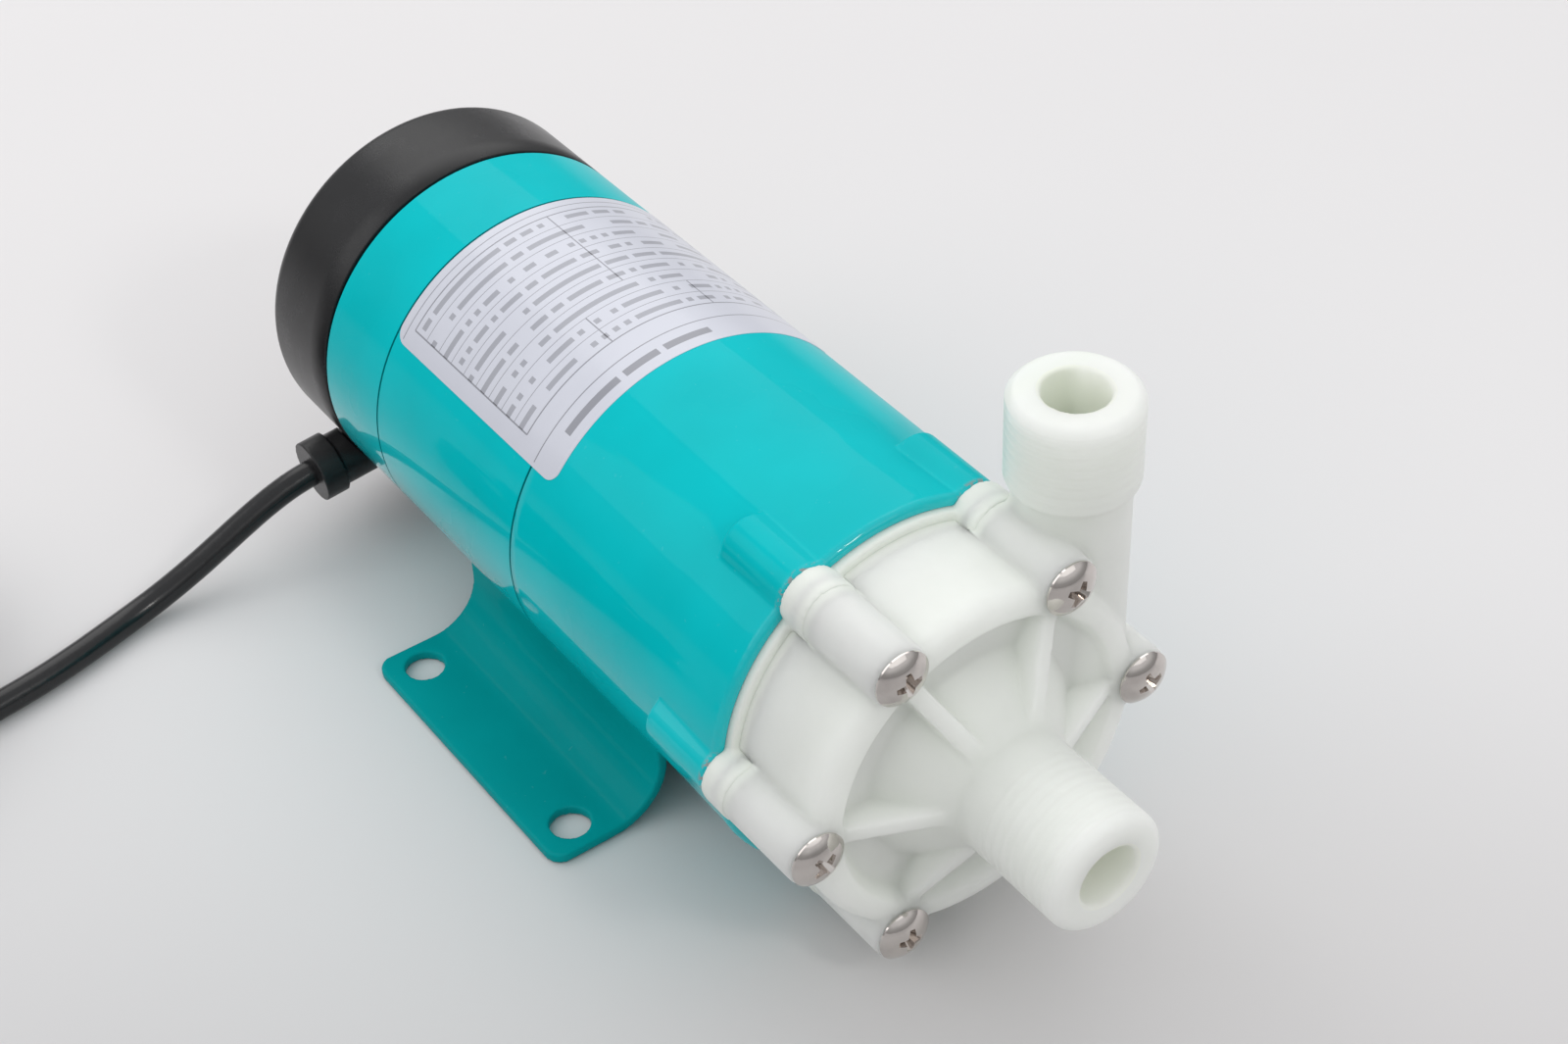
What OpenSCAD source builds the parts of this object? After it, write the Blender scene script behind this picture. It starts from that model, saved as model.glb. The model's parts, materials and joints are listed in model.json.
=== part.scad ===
// Magnetic drive pump: a plastic pump head on a small capacitor motor, on a pressed steel foot.
// Millimetres. X is right seen from the inlet, Y runs from the inlet to the rear cover, Z is up.
// The origin is on the floor, in the middle of the four foot holes.

/* [Motor] */
// Outside diameter of the motor body
body_d = 66.8; // [62:0.2:74]
// Height of the pump axis over the floor
axis_h = 39; // [38:0.5:48]
// Length of the front bracket, from its rim to the first seam
bracket_l = 59.4; // [54:0.2:70]
// Length of the stator frame between the two seams
stator_l = 43.9; // [38:0.1:70]
// Length of the rear end shield
shield_l = 18.2; // [17:0.1:24]
// Length of the black rear cover
cover_l = 21.6; // [19:0.1:34]
// Wall of the stator frame
frame_wall = 2.2; // [1.6:0.1:2.6]
// Wall of the rear cover
cover_wall = 2; // [1.6:0.1:2.6]
// Radius of the rounded rear edge of the cover
cover_edge_r = 3; // [1:0.25:4]
// Diameter of the motor shaft
shaft_d = 8; // [6:0.5:9]
// Outside diameter of each ball bearing
bearing_d = 22; // [20:0.5:23]
// Width of each ball bearing
bearing_w = 7; // [6:0.5:8]
// Diameter of the bore of the stator core
stator_bore_d = 40.6; // [38:0.2:42]
// Air gap between rotor and stator
air_gap = 0.3; // [0.3:0.05:0.6]
// Slots in the stator core
slot_count = 16; // [12:2:20]

/* [Pump head] */
// Diameter of the front rim of the bracket
rim_d = 67.8; // [67:0.2:70]
// Diameter of the circle of casing screws
screw_circle_d = 62.6; // [61:0.2:64]
// Number of casing screws
screw_count = 6; // [6:1:6]
// Shank diameter of the casing screws
screw_d = 4; // [3:0.5:4.5]
// Head diameter of the casing screws
screw_head_d = 9.4; // [8:0.2:10]
// Head height of the casing screws
screw_head_h = 2.5; // [2:0.1:3]
// Diameter of the screw tubes on the front casing
boss_d = 10.2; // [9.4:0.2:10.6]
// Diameter of the lugs on the rear casing
lug_d = 10.4; // [10:0.2:11]
// Diameter of the screw bumps on the bracket
bump_d = 9.8; // [9:0.2:10.4]
// Length of the screw bumps on the bracket
bump_l = 16; // [14:0.5:20]
// Diameter of the front casing
casing_d = 61.6; // [60:0.2:63]
// Length of the screw tubes of the front casing, from the lugs to the screw seats
casing_l = 17.2; // [16:0.1:22]
// How far the lugs of the rear casing stand before the bracket rim
lug_reach = 5; // [4:0.1:6]
// Diameter of the flange of the rear casing
flange_d = 64.2; // [63.4:0.2:66]
// Thickness of the flange of the rear casing
flange_t = 5; // [4.6:0.1:5.8]
// How deep the flange sits in the bracket rim
flange_seat = 4; // [3:0.1:4.2]
// Radius of the shoulder round the front casing
shoulder_r = 3; // [1.5:0.25:4]
// Depth of the dish in the face of the front casing
dish_depth = 3; // [1.5:0.1:3.4]
// Thickness of the ribs on the face
rib_t = 3; // [2:0.25:4]
// Thickness of the can between the two magnets
can_wall = 1.5; // [1:0.1:2]

/* [Ports] */
// Outside diameter of the threaded ports
port_d = 20.9; // [20:0.1:22]
// Bore of the ports
port_bore_d = 10.6; // [9:0.2:11]
// Distance of the inlet's tip before the bracket rim
inlet_reach = 51; // [46:0.5:62]
// Height of the outlet's tip over the pump axis
outlet_reach = 52.3; // [50:0.5:64]
// Length of the outlet's threaded collar
collar_l = 16.6; // [14:0.2:17]
// Diameter of the neck under the outlet's collar
neck_d = 18.4; // [17:0.2:19.6]
// Distance of the outlet to the right of the pump axis
outlet_x = 25.2; // [24.6:0.1:26]

/* [Impeller and magnets] */
// Diameter of the impeller
impeller_d = 43; // [38:0.5:44]
// Vanes on the impeller
vane_count = 6; // [4:1:8]
// Diameter of the ceramic spindle
spindle_d = 6; // [5:0.5:7]
// Wall of the sleeve bearing on the spindle
bush_wall = 2.5; // [1.5:0.25:3]
// Thickness of the driven magnet ring
driven_t = 5; // [3:0.25:5.5]
// Thickness of the drive magnet ring
drive_t = 4.4; // [3:0.2:5]
// Wall of the drive magnet's steel cup
yoke_wall = 2.4; // [1.8:0.2:3]

/* [Foot] */
// Distance of the foot behind the bracket rim
foot_back = 31.5; // [27:0.5:33]
// Thickness of the sheet of the foot
sheet_t = 1.8; // [1.2:0.1:2.2]
// Inside radius of the bends of the foot
bend_r = 9.5; // [7:0.5:11]
// Hole spacing across the foot
hole_span_x = 79; // [76:0.5:84]
// Hole spacing along the foot
hole_span_y = 48; // [44:0.5:58]
// Diameter of the foot holes
hole_d = 7; // [5:0.25:8]
// Distance of the holes from the side edges of the foot
hole_edge_x = 6.75; // [5:0.25:10]
// Distance of the holes from the front and rear edges of the foot
hole_edge_y = 6; // [5:0.25:10]
// Radius of the corners of the foot
foot_corner_r = 3; // [1:0.25:4]

/* [Mains lead] */
// Diameter of the lead
cord_d = 5; // [4.6:0.1:5.4]
// Depth of the cable gland's root under the pump axis
gland_drop = 22; // [20:0.5:23]
// Angle at which the gland's outer end points down
gland_tilt = 6; // [0:1:10]
// How far the gland reaches out of the cover
gland_l = 11; // [10:0.5:12]
// Diameter of the gland's collar
gland_collar_d = 11.8; // [11:0.2:14]

/* [Hidden] */
$fn = 96;
seat_gap = 0.02;
press_gap = 0.01;
run_gap = 0.05;
screw_gap = 0.15;
joint_gap = 0.4;
seam_chamfer = 0.2;
overlap = 1;

TEAL = "#00B8BC";
TEAL_DARK = "#078C8E";
CASING_WHITE = "#DCE3DC";
COVER_BLACK = "#3A3A3D";
RUBBER_BLACK = "#1B1B1C";
STEEL = "#B9B6B0";
DARK_STEEL = "#6E7074";
COPPER = "#B5693A";
MAGNET = "#4A4A4E";
CERAMIC = "#EFEDE4";

// Places along the axis, measured rearwards from the bracket rim.
foot_l = hole_span_y + 2 * hole_edge_y;
foot_mid = foot_back + foot_l / 2;
s_joint = flange_seat - flange_t;
s_lug = -lug_reach;
s_boss = s_lug - casing_l;
s_seam_front = bracket_l;
s_seam_rear = bracket_l + stator_l;
s_cover = s_seam_rear + shield_l;
s_end = s_cover + cover_l;

// Radii of the motor.
body_r = body_d / 2;
rim_r = rim_d / 2;
screw_r = screw_circle_d / 2;
frame_in_r = body_r - frame_wall;
cavity_r = screw_r - 1.5;
winding_room_r = frame_in_r - 1;

// Pump head, from the joint forwards.
casing_r = casing_d / 2;
flange_r = flange_d / 2;
port_r = port_d / 2;
rim_band = 1.6;
s_rim = s_boss + 0.4;
s_dish = s_rim + dish_depth;
face_wall = 3.4;
s_chamber = s_dish + face_wall;
chamber_wall = 5.8;
chamber_r = casing_r - chamber_wall;
eye_r = 8.2;
s_eye = s_boss + 1.2;
hub_r = 12.5;
s_hub = s_boss - 3.8;
s_tube = s_hub - 3;
s_inlet = -inlet_reach;
s_rib = s_boss - 6.5;
tip_chamfer = 1.2;
outlet_s = -(port_d / 2 + 0.6);
boss_draft = 0.1;
neck_low = 0;
outlet_bore_low = 9;

// Screw places: threads in the bumps of the bracket, and the front edge between them.
pocket_gap = 0.1;
thread_l = 11;
bump_edge = 1;
rim_edge_r = 1.2;
rim_draft_l = 20;
screw_hole_r = screw_d / 2 + screw_gap;

// O-ring in the face of the rear casing.
ring_section = 2.4;
ring_r = chamber_r + 0.8 + ring_section / 2;

// Bearing wall of the bracket, and the drive cup in front of it.
bearing_r = bearing_d / 2;
bearing_rest = 2;
bearing_tail = 5.4;
s_bearing_front = bracket_l - bearing_tail - bearing_w;
s_wall_front = s_bearing_front - bearing_rest;
web_t = 7;
bearing_hub_r = bearing_r + 4;
shaft_r = shaft_d / 2;
shaft_hole_r = shaft_r + 5;
yoke_hub_l = 7.5;
yoke_plate_t = 4;
yoke_hub_r = shaft_r + 4.6;
s_yoke_rear = s_wall_front - 0.6;
s_yoke_plate = s_yoke_rear - yoke_hub_l - yoke_plate_t;
yoke_r = screw_r - bump_d / 2 - 0.9;
yoke_in_r = yoke_r - yoke_wall;
drive_in_r = yoke_in_r - drive_t;
magnet_gap = 0.9;
can_r = drive_in_r - magnet_gap;
can_in_r = can_r - can_wall;
can_floor_t = 3;
s_can_end = s_yoke_plate - 1.5;
s_can_floor = s_can_end - can_floor_t;
spigot_l = 3;
spigot_r = screw_r - bump_d / 2 - 0.3;
s_yoke_front = flange_seat + spigot_l + 1.5;
magnet_step = 0.5;
magnet_tail = 4;
s_drive = s_yoke_front + magnet_step;
drive_l = s_yoke_plate - s_yoke_front - magnet_tail;

// Spindle, bushing and impeller.
spindle_r = spindle_d / 2;
socket_l = 3.4;
thrust_t = 2;
thrust_gap = 0.4;
bush_r = spindle_r + run_gap + bush_wall;
socket_boss_r = bush_r + 2.5;
s_socket = s_can_floor - socket_l;
s_rear_thrust = s_socket - thrust_t;
s_capsule_end = s_rear_thrust - thrust_gap;
s_shroud = s_chamber + 0.8;
shroud_t = 1.4;
disc_t = 2;
s_disc_rear = s_joint - 1.2;
s_disc = s_disc_rear - disc_t;
vane_t = 1.6;
vane_sweep = 46;
vane_root_gap = 3.2;
vane_tip_gap = 0.3;
impeller_r = impeller_d / 2;
capsule_r = can_in_r - 1.1;
capsule_wall = 1.6;
driven_r = capsule_r - capsule_wall;
s_driven = 1.5;
s_bush = s_disc - 3.4;
spider_hub_r = spindle_r + 1.6;
spider_t = 1.8;
spider_l = 3.6;
spider_arms = 3;
s_spider = s_eye;
s_front_thrust = s_bush - thrust_gap - thrust_t;
s_spindle_front = s_spider + 0.8;

// Motor inside.
core_inset = 2.6;
s_core = s_seam_front + core_inset;
s_core_rear = s_seam_rear - core_inset;
stator_bore_r = stator_bore_d / 2;
rotor_r = stator_bore_r - air_gap;
tie_d = 3;
tie_r = frame_in_r - tie_d / 2 - 0.3;
slot_in_r = stator_bore_r + 1.2;
slot_out_r = tie_r - tie_d / 2 - 0.6;
slot_w = 4;
slot_mouth_w = 2;
winding_l = 7;
winding_in_r = slot_in_r + 0.2;
winding_out_r = slot_out_r - 0.2;
coil_side_w = slot_w - 0.2;
end_ring_l = 5;
s_bearing_rear = s_core_rear + winding_l;
washer_t = 1;
shield_web_t = 6;
s_shield_web = s_cover - 10.5;
s_shield_rear = s_shield_web + shield_web_t;
s_washer = s_bearing_rear + bearing_w;
s_hub_end = s_washer + washer_t + 4.4;
cover_spigot_l = 3;
cover_spigot_r = body_r - cover_wall - 0.1;
cover_spigot_wall = 2;
post_d = 7;
post_r = cover_spigot_r - cover_spigot_wall - post_d / 2 - 0.8;
post_angles = [150, 330];
cover_screw_d = 3;
cover_screw_l = 10;
screw_room = 2;

// Foot.
saddle_r = body_r + seat_gap;
hole_to_wall = 14.5;
wall_x = hole_span_x / 2 - hole_to_wall;
foot_w = hole_span_x + 2 * hole_edge_x;
foot_screw_s = [s_wall_front + web_t / 2, foot_back + 5];

// Cable gland low on the side of the cover, pointing sideways. Its groove follows the cover's round wall.
gland_neck_d = cord_d + 3;
gland_lip_d = gland_neck_d + 1.6;
gland_sleeve_d = gland_neck_d + 2.2;
gland_s = s_cover + cover_spigot_l + gland_lip_d / 2 + 0.3;
gland_inside = 8.8;
gland_collar_t = 4.6;
gland_root = [-sqrt(body_r * body_r - gland_drop * gland_drop), gland_s - foot_mid, axis_h - gland_drop];
gland_way = [-cos(gland_tilt), 0, -sin(gland_tilt)];

// Points of the lead from the gland to the coil, chosen by hand.
cord_exit = gland_root + gland_l * gland_way;
CORD_ROUTE = [
    [-41, 68.15, 14.9], [-46, 68.15, 13.3], [-51, 68.1, 11.25], [-56, 68, 9.05], [-61, 68, 6.8], [-66, 67.95, 4.85],
    [-71, 67.7, 3.35], [-76, 66.95, 2.6], [-81, 65.6, 2.5], [-88, 63.65, 2.5], [-96, 61.85, 2.5], [-104, 60.6, 2.5],
    [-111, 59.7, 2.6], [-117.5, 59.1, 2.9], [-123.5, 58.75, 3.25]
];
cord_sides = 10;
cord_steps = 3;
coil_mid = [-134, 89.2];
coil_mid_r = 28;
coil_wide = 2 * cord_d + 0.4;
coil_high = 3 * cord_d + 0.6;
tie_t = 1;
tie_w = 8;
tie_slack = 0.1;
coil_base = tie_t + 2 * tie_slack;
plug_l = 30;
plug_w = 24;
plug_t = 13;
plug_neck_l = 12;
pin_d = 4.6;
pin_l = 18;
pin_span = 18.6;
plug_shift = [3, 17];
plug_mid = [coil_mid[0] - coil_mid_r + plug_shift[0], coil_mid[1] + plug_shift[1], coil_base + coil_high];

// Places children at a distance behind the rim, with their own z running rearwards along the axis.
module at_s(s) translate([0, s - foot_mid, axis_h]) rotate([-90, 0, 0]) children();

// Turns and moves children round the axis. The angle runs from the right over the top.
module at_angle(a, r) rotate([0, 0, -a]) translate([r, 0, 0]) children();

module each_screw(r = screw_r) for (i = [0:screw_count - 1]) at_angle(i * 360 / screw_count, r) children();

// A solid of revolution from points of radius and place along the axis.
module revolve(points) at_s(0) rotate_extrude() polygon(points);

module ring(r_out, r_in, s0, s1) at_s(s0) difference() {
    cylinder(r = r_out, h = s1 - s0);
    translate([0, 0, -1]) cylinder(r = r_in, h = s1 - s0 + 2);
}

module rod(r, s0, s1) at_s(s0) cylinder(r = r, h = s1 - s0);

// Points of a rounded corner about a centre.
function corner(c, r, a0, a1, n = 8) = [for (i = [0:n]) let (a = a0 + (a1 - a0) * i / n) c + r * [cos(a), sin(a)]];

// Pump head

front_outline = concat(
    [[0, s_joint], [casing_r, s_joint]],
    corner([casing_r - shoulder_r, s_rim + shoulder_r], shoulder_r, 0, -90),
    [
        [casing_r - shoulder_r - rim_band, s_rim],
        [casing_r - shoulder_r - rim_band - dish_depth * 0.5, s_dish],
        [hub_r + (s_dish - s_hub) * 0.9, s_dish],
        [hub_r, s_hub], [port_r, s_tube], [port_r, s_inlet + tip_chamfer], [port_r - tip_chamfer, s_inlet],
        [0, s_inlet]
    ]
);

module outlet_column() translate([outlet_x, outlet_s - foot_mid, axis_h]) {
    translate([0, 0, neck_low]) cylinder(d = neck_d, h = outlet_reach - collar_l + 1 - neck_low);
    translate([0, 0, outlet_reach - collar_l]) {
        cylinder(d1 = neck_d, d2 = port_d, h = 1);
        translate([0, 0, 1]) cylinder(d = port_d, h = collar_l - 1 - tip_chamfer);
        translate([0, 0, collar_l - tip_chamfer]) cylinder(r1 = port_r, r2 = port_r - tip_chamfer, h = tip_chamfer);
    }
}

module face_ribs() at_s(0) each_screw(0) rotate([90, 0, 0]) linear_extrude(rib_t, center = true) polygon([
    [hub_r - 4, s_dish + 0.5], [screw_r, s_dish + 0.5], [screw_r, s_boss + 1], [screw_r - boss_d / 2, s_boss + 1],
    [port_r - 1, s_rib]
]);

module casing_waterway() {
    rod(chamber_r, s_chamber, s_joint + 1);
    rod(eye_r, s_eye, s_chamber + 1);
    rod(port_bore_d / 2, s_inlet - 1, s_eye + 1);
    translate([outlet_x, outlet_s - foot_mid, axis_h + outlet_bore_low])
        cylinder(d = port_bore_d, h = outlet_reach - outlet_bore_low + 1);
}

module spindle_spider() {
    ring(spider_hub_r, spindle_r + seat_gap, s_spider, s_front_thrust);
    at_s(s_spider) for (i = [0:spider_arms - 1]) at_angle(90 + i * 360 / spider_arms, (spider_hub_r + eye_r) / 2)
        translate([0, 0, spider_l / 2]) cube([eye_r - spider_hub_r + 1, spider_t, spider_l], center = true);
    rod(spider_hub_r, s_spider, s_spindle_front);
}

module front_casing() color(CASING_WHITE) {
    difference() {
        union() {
            revolve(front_outline);
            at_s(s_boss) each_screw()
                cylinder(r1 = boss_d / 2 - boss_draft, r2 = boss_d / 2, h = casing_l + overlap);
            face_ribs();
            outlet_column();
        }
        casing_waterway();
        at_s(s_boss - 1) each_screw() cylinder(r = screw_hole_r, h = casing_l + 2);
        rod(flange_r + joint_gap, s_joint, flange_t);
        at_s(s_lug) each_screw() cylinder(r = lug_d / 2 + pocket_gap, h = lug_reach + flange_t);
    }
    spindle_spider();
}

module rear_casing() color(CASING_WHITE) difference() {
    union() {
        revolve([
            [can_in_r, s_joint], [flange_r, s_joint], [flange_r, flange_seat], [spigot_r, flange_seat],
            [spigot_r, flange_seat + spigot_l], [can_r, flange_seat + spigot_l], [can_r, s_can_end],
            [0, s_can_end], [0, s_can_floor - seat_gap], [spindle_r + seat_gap, s_can_floor - seat_gap],
            [spindle_r + seat_gap, s_socket],
            [socket_boss_r, s_socket], [socket_boss_r, s_can_floor], [can_in_r, s_can_floor]
        ]);
        difference() {
            at_s(s_lug) each_screw() cylinder(d = lug_d, h = lug_reach);
            rod(casing_r + pocket_gap, s_lug - 1, flange_seat / 2);
        }
    }
    at_s(s_lug - 1) each_screw() cylinder(r = screw_hole_r, h = lug_reach + flange_seat + 2);
    ring(ring_r + ring_section / 2, ring_r - ring_section / 2, s_joint - 1, s_joint + ring_section);
}

module casing_o_ring() color(RUBBER_BLACK)
    at_s(s_joint + ring_section / 2) rotate_extrude() translate([ring_r, 0]) circle(d = ring_section - 2 * seat_gap);

// A low domed head with its rim on the seat, and its shank running rearwards.
module pan_screw(d, head_d, head_h, shank_l) {
    dome_r = (head_d * head_d / 4 + head_h * head_h) / (2 * head_h);
    cylinder(d = d, h = shank_l);
    intersection() {
        translate([0, 0, dome_r - head_h]) sphere(r = dome_r);
        translate([0, 0, -head_h]) cylinder(d = head_d, h = head_h);
    }
}

module casing_screws() color(STEEL) at_s(s_boss) each_screw()
    pan_screw(screw_d, screw_head_d, screw_head_h, casing_l + lug_reach + thread_l);

module spindle() color(CERAMIC) rod(spindle_r, s_spindle_front + seat_gap, s_can_floor - 2 * seat_gap);

module front_thrust_ring() color(CERAMIC)
    ring(bush_r, spindle_r + run_gap, s_front_thrust, s_front_thrust + thrust_t);

module rear_thrust_ring() color(CERAMIC) ring(socket_boss_r, spindle_r + run_gap, s_rear_thrust, s_socket);

// Motor housing

bracket_outline = concat(
    [[cavity_r, 0]],
    corner([rim_r - rim_edge_r, rim_edge_r], rim_edge_r, -90, 0, 4),
    [
        [body_r, rim_draft_l], [body_r, s_seam_front - seam_chamfer], [body_r - seam_chamfer, s_seam_front],
        [winding_room_r, s_seam_front], [winding_room_r, s_wall_front + web_t],
        [bearing_hub_r, s_wall_front + web_t], [bearing_hub_r, s_bearing_front + bearing_w],
        [bearing_r + press_gap, s_bearing_front + bearing_w], [bearing_r + press_gap, s_bearing_front],
        [shaft_hole_r, s_bearing_front], [shaft_hole_r, s_wall_front], [cavity_r, s_wall_front]
    ]
);

module motor_bracket() color(TEAL) difference() {
    union() {
        revolve(bracket_outline);
        at_s(0) each_screw() {
            cylinder(d = bump_d, h = bump_l - bump_edge);
            translate([0, 0, bump_l - bump_edge])
                cylinder(d1 = bump_d, d2 = bump_d - 2 * bump_edge, h = bump_edge);
        }
    }
    at_s(-1) {
        cylinder(r = flange_r + pocket_gap, h = flange_seat + 1);
        each_screw() cylinder(r = screw_hole_r, h = thread_l + 2);
    }
    at_s(s_wall_front + 1.5) tie_places() cylinder(d = tie_d + 0.4, h = bracket_l);
    foot_screw_places() cylinder(d = screw_d + 2 * screw_gap, h = 5, center = true);
}

module stator_frame() color(TEAL) revolve([
    [frame_in_r, s_seam_front], [body_r - seam_chamfer, s_seam_front], [body_r, s_seam_front + seam_chamfer],
    [body_r, s_seam_rear - seam_chamfer], [body_r - seam_chamfer, s_seam_rear], [frame_in_r, s_seam_rear]
]);

module rear_end_shield() color(TEAL) difference() {
    union() {
        revolve([
            [winding_room_r, s_seam_rear], [body_r - seam_chamfer, s_seam_rear],
            [body_r, s_seam_rear + seam_chamfer], [body_r, s_cover - seam_chamfer],
            [body_r - seam_chamfer, s_cover], [cover_spigot_r, s_cover], [cover_spigot_r, s_cover + cover_spigot_l],
            [cover_spigot_r - cover_spigot_wall, s_cover + cover_spigot_l],
            [cover_spigot_r - cover_spigot_wall, s_shield_rear], [bearing_hub_r, s_shield_rear],
            [bearing_hub_r, s_hub_end], [0, s_hub_end], [0, s_washer + washer_t + 3.2],
            [shaft_r + 3, s_washer + washer_t + 3.2], [shaft_r + 3, s_washer + washer_t],
            [bearing_r + press_gap, s_washer + washer_t], [bearing_r + press_gap, s_bearing_rear],
            [bearing_hub_r, s_bearing_rear], [bearing_hub_r, s_shield_web], [winding_room_r, s_shield_web]
        ]);
        at_s(s_shield_rear - 1) cover_posts() cylinder(d = post_d, h = s_end - cover_wall - s_shield_rear + 1);
    }
    at_s(s_seam_rear - 1) tie_places() cylinder(d = tie_d + 0.4, h = s_shield_rear - s_seam_rear + 2);
    at_s(s_shield_rear) tie_places() cylinder(d = 1.8 * tie_d + 0.6, h = shield_l);
    at_s(s_end - cover_screw_l - screw_room) cover_posts()
        cylinder(d = cover_screw_d + 0.2, h = cover_screw_l + 2 * screw_room);
}

module tie_places() for (a = [45:90:315]) at_angle(a, tie_r) children();

module cover_posts() for (a = post_angles) at_angle(a, post_r) children();

module rear_cover() color(COVER_BLACK) difference() {
    revolve(concat(
        [[body_r - cover_wall, s_cover], [body_r - seam_chamfer, s_cover], [body_r, s_cover + seam_chamfer]],
        corner([body_r - cover_edge_r, s_end - cover_edge_r], cover_edge_r, 0, 90),
        [[0, s_end], [0, s_end - cover_wall], [body_r - cover_wall, s_end - cover_wall]]
    ));
    at_s(s_end - 2 * cover_wall) cover_posts() cylinder(d = cover_screw_d + 0.2, h = 3 * cover_wall);
    at_gland() translate([0, 0, -2 * gland_inside])
        cylinder(d = gland_neck_d + 2 * seat_gap, h = 2 * gland_inside + gland_l - gland_collar_t);
}

module cover_screws() color(STEEL) at_s(s_end) cover_posts()
    rotate([180, 0, 0]) pan_screw(cover_screw_d, 2 * cover_screw_d, 0.6 * cover_screw_d, cover_screw_l);

module tie_bolts() color(DARK_STEEL) {
    at_s(s_wall_front + 2) tie_places() cylinder(d = tie_d, h = s_shield_rear - s_wall_front - 2);
    at_s(s_shield_rear) tie_places() cylinder(d = 1.8 * tie_d, h = 0.7 * tie_d, $fn = 6);
}

// Motor inside

module slot_outline(width, mouth) {
    translate([slot_in_r, -width / 2]) square([slot_out_r - slot_in_r, width]);
    translate([stator_bore_r - 1, -mouth / 2]) square([slot_in_r - stator_bore_r + 2, mouth]);
}

module stator_core() color(DARK_STEEL) at_s(s_core) linear_extrude(s_core_rear - s_core) difference() {
    circle(r = frame_in_r - press_gap);
    circle(r = stator_bore_r);
    for (i = [0:slot_count - 1]) rotate(i * 360 / slot_count) slot_outline(slot_w, slot_mouth_w);
    for (a = [45:90:315]) rotate(a) translate([tie_r, 0]) circle(d = tie_d + 0.4);
}

// One bundle of end turns: a ring that is rounded at its free end.
module end_turns(s_root, way) revolve([for (p = [
    [winding_in_r, 0], [winding_out_r, 0], [winding_out_r, winding_l - 2], [winding_out_r - 1.8, winding_l],
    [winding_in_r + 1.6, winding_l], [winding_in_r, winding_l - 1.6]
]) [p[0], s_root + way * p[1]]]);

module stator_windings() color(COPPER) {
    end_turns(s_core, -1);
    end_turns(s_core_rear, 1);
    at_s(s_core - overlap) for (i = [0:slot_count - 1]) rotate([0, 0, i * 360 / slot_count])
        translate([winding_in_r + 0.4, -coil_side_w / 2, 0])
            cube([winding_out_r - winding_in_r - 0.8, coil_side_w, s_core_rear - s_core + 2 * overlap]);
}

capacitor = [32, 22, 12.5];

module run_capacitor() color("#C9C9C2") at_s(s_hub_end)
    translate([-capacitor[0] / 2, 4 - capacitor[1], 0]) cube(capacitor);

terminal = [18, 9, 9];

module terminal_block() color("#E6E3D6") at_s(s_shield_rear)
    translate([-terminal[0] / 2, bearing_hub_r + 0.5, 0]) cube(terminal);

// Ball bearings

bearing_places = [s_bearing_front, s_bearing_rear];
ball_r = 1.7;
race_gap = 0.3;
ball_path_r = (shaft_r + bearing_r) / 2;
ball_count = 7;
shoulder_half = 1.2;

module race_groove(s) at_s(s + bearing_w / 2) rotate_extrude() translate([ball_path_r, 0]) circle(r = ball_r + race_gap);

module bearing_outer_rings() color(STEEL) for (s = bearing_places) difference() {
    ring(bearing_r, ball_path_r + shoulder_half, s, s + bearing_w);
    race_groove(s);
}

module bearing_inner_rings() color(STEEL) for (s = bearing_places) difference() {
    ring(ball_path_r - shoulder_half, shaft_r + press_gap, s, s + bearing_w);
    race_groove(s);
}

module bearing_balls() color(STEEL) for (s = bearing_places) at_s(s + bearing_w / 2)
    for (i = [0:ball_count - 1]) at_angle(i * 360 / ball_count, ball_path_r) sphere(r = ball_r);

module wave_washer() color(STEEL) ring(bearing_r - 0.2, ball_path_r + shoulder_half + 0.2, s_washer, s_washer + washer_t);

// Rotor

module motor_shaft() color(STEEL) rod(shaft_r, s_yoke_plate + 0.5, s_washer + washer_t + 2.6);

module rotor_core() color(DARK_STEEL) ring(rotor_r, shaft_r + press_gap, s_core, s_core_rear);

module rotor_end_rings() color(STEEL) {
    ring(rotor_r - 1.5, rotor_r - 8, s_core - end_ring_l, s_core);
    ring(rotor_r - 1.5, rotor_r - 8, s_core_rear, s_core_rear + end_ring_l);
}

module drive_yoke() color(DARK_STEEL) difference() {
    revolve([
        [yoke_in_r, s_yoke_front], [yoke_r, s_yoke_front], [yoke_r, s_yoke_plate + yoke_plate_t],
        [yoke_hub_r, s_yoke_plate + yoke_plate_t], [yoke_hub_r, s_yoke_rear], [shaft_r + press_gap, s_yoke_rear],
        [shaft_r + press_gap, s_yoke_plate], [yoke_in_r, s_yoke_plate]
    ]);
    yoke_screw_place() cylinder(r = 2 + seat_gap, h = yoke_hub_r);
}

module yoke_screw_place() at_s(s_yoke_rear - yoke_hub_l / 2 + 0.6) rotate([90, 0, 0]) children();

module drive_magnet() color(MAGNET) ring(yoke_in_r - press_gap, drive_in_r, s_drive, s_drive + drive_l);

module yoke_set_screw() color(DARK_STEEL) yoke_screw_place()
    translate([0, 0, shaft_r + seat_gap]) cylinder(r = 2, h = yoke_hub_r - shaft_r - 0.6);

// Impeller

// A vane is a strip between two circles that bends back as it runs outwards.
function vane_point(t, side) =
    let (root = bush_r + vane_root_gap, r = root + (impeller_r - vane_tip_gap - root) * t)
    let (a = vane_sweep * t + side * vane_t / 2 / r * 180 / PI)
    r * [cos(a), sin(a)];

module vane_outline() polygon(concat(
    [for (i = [0:8]) vane_point(i / 8, 1)],
    [for (i = [8:-1:0]) vane_point(i / 8, -1)]
));

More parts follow.
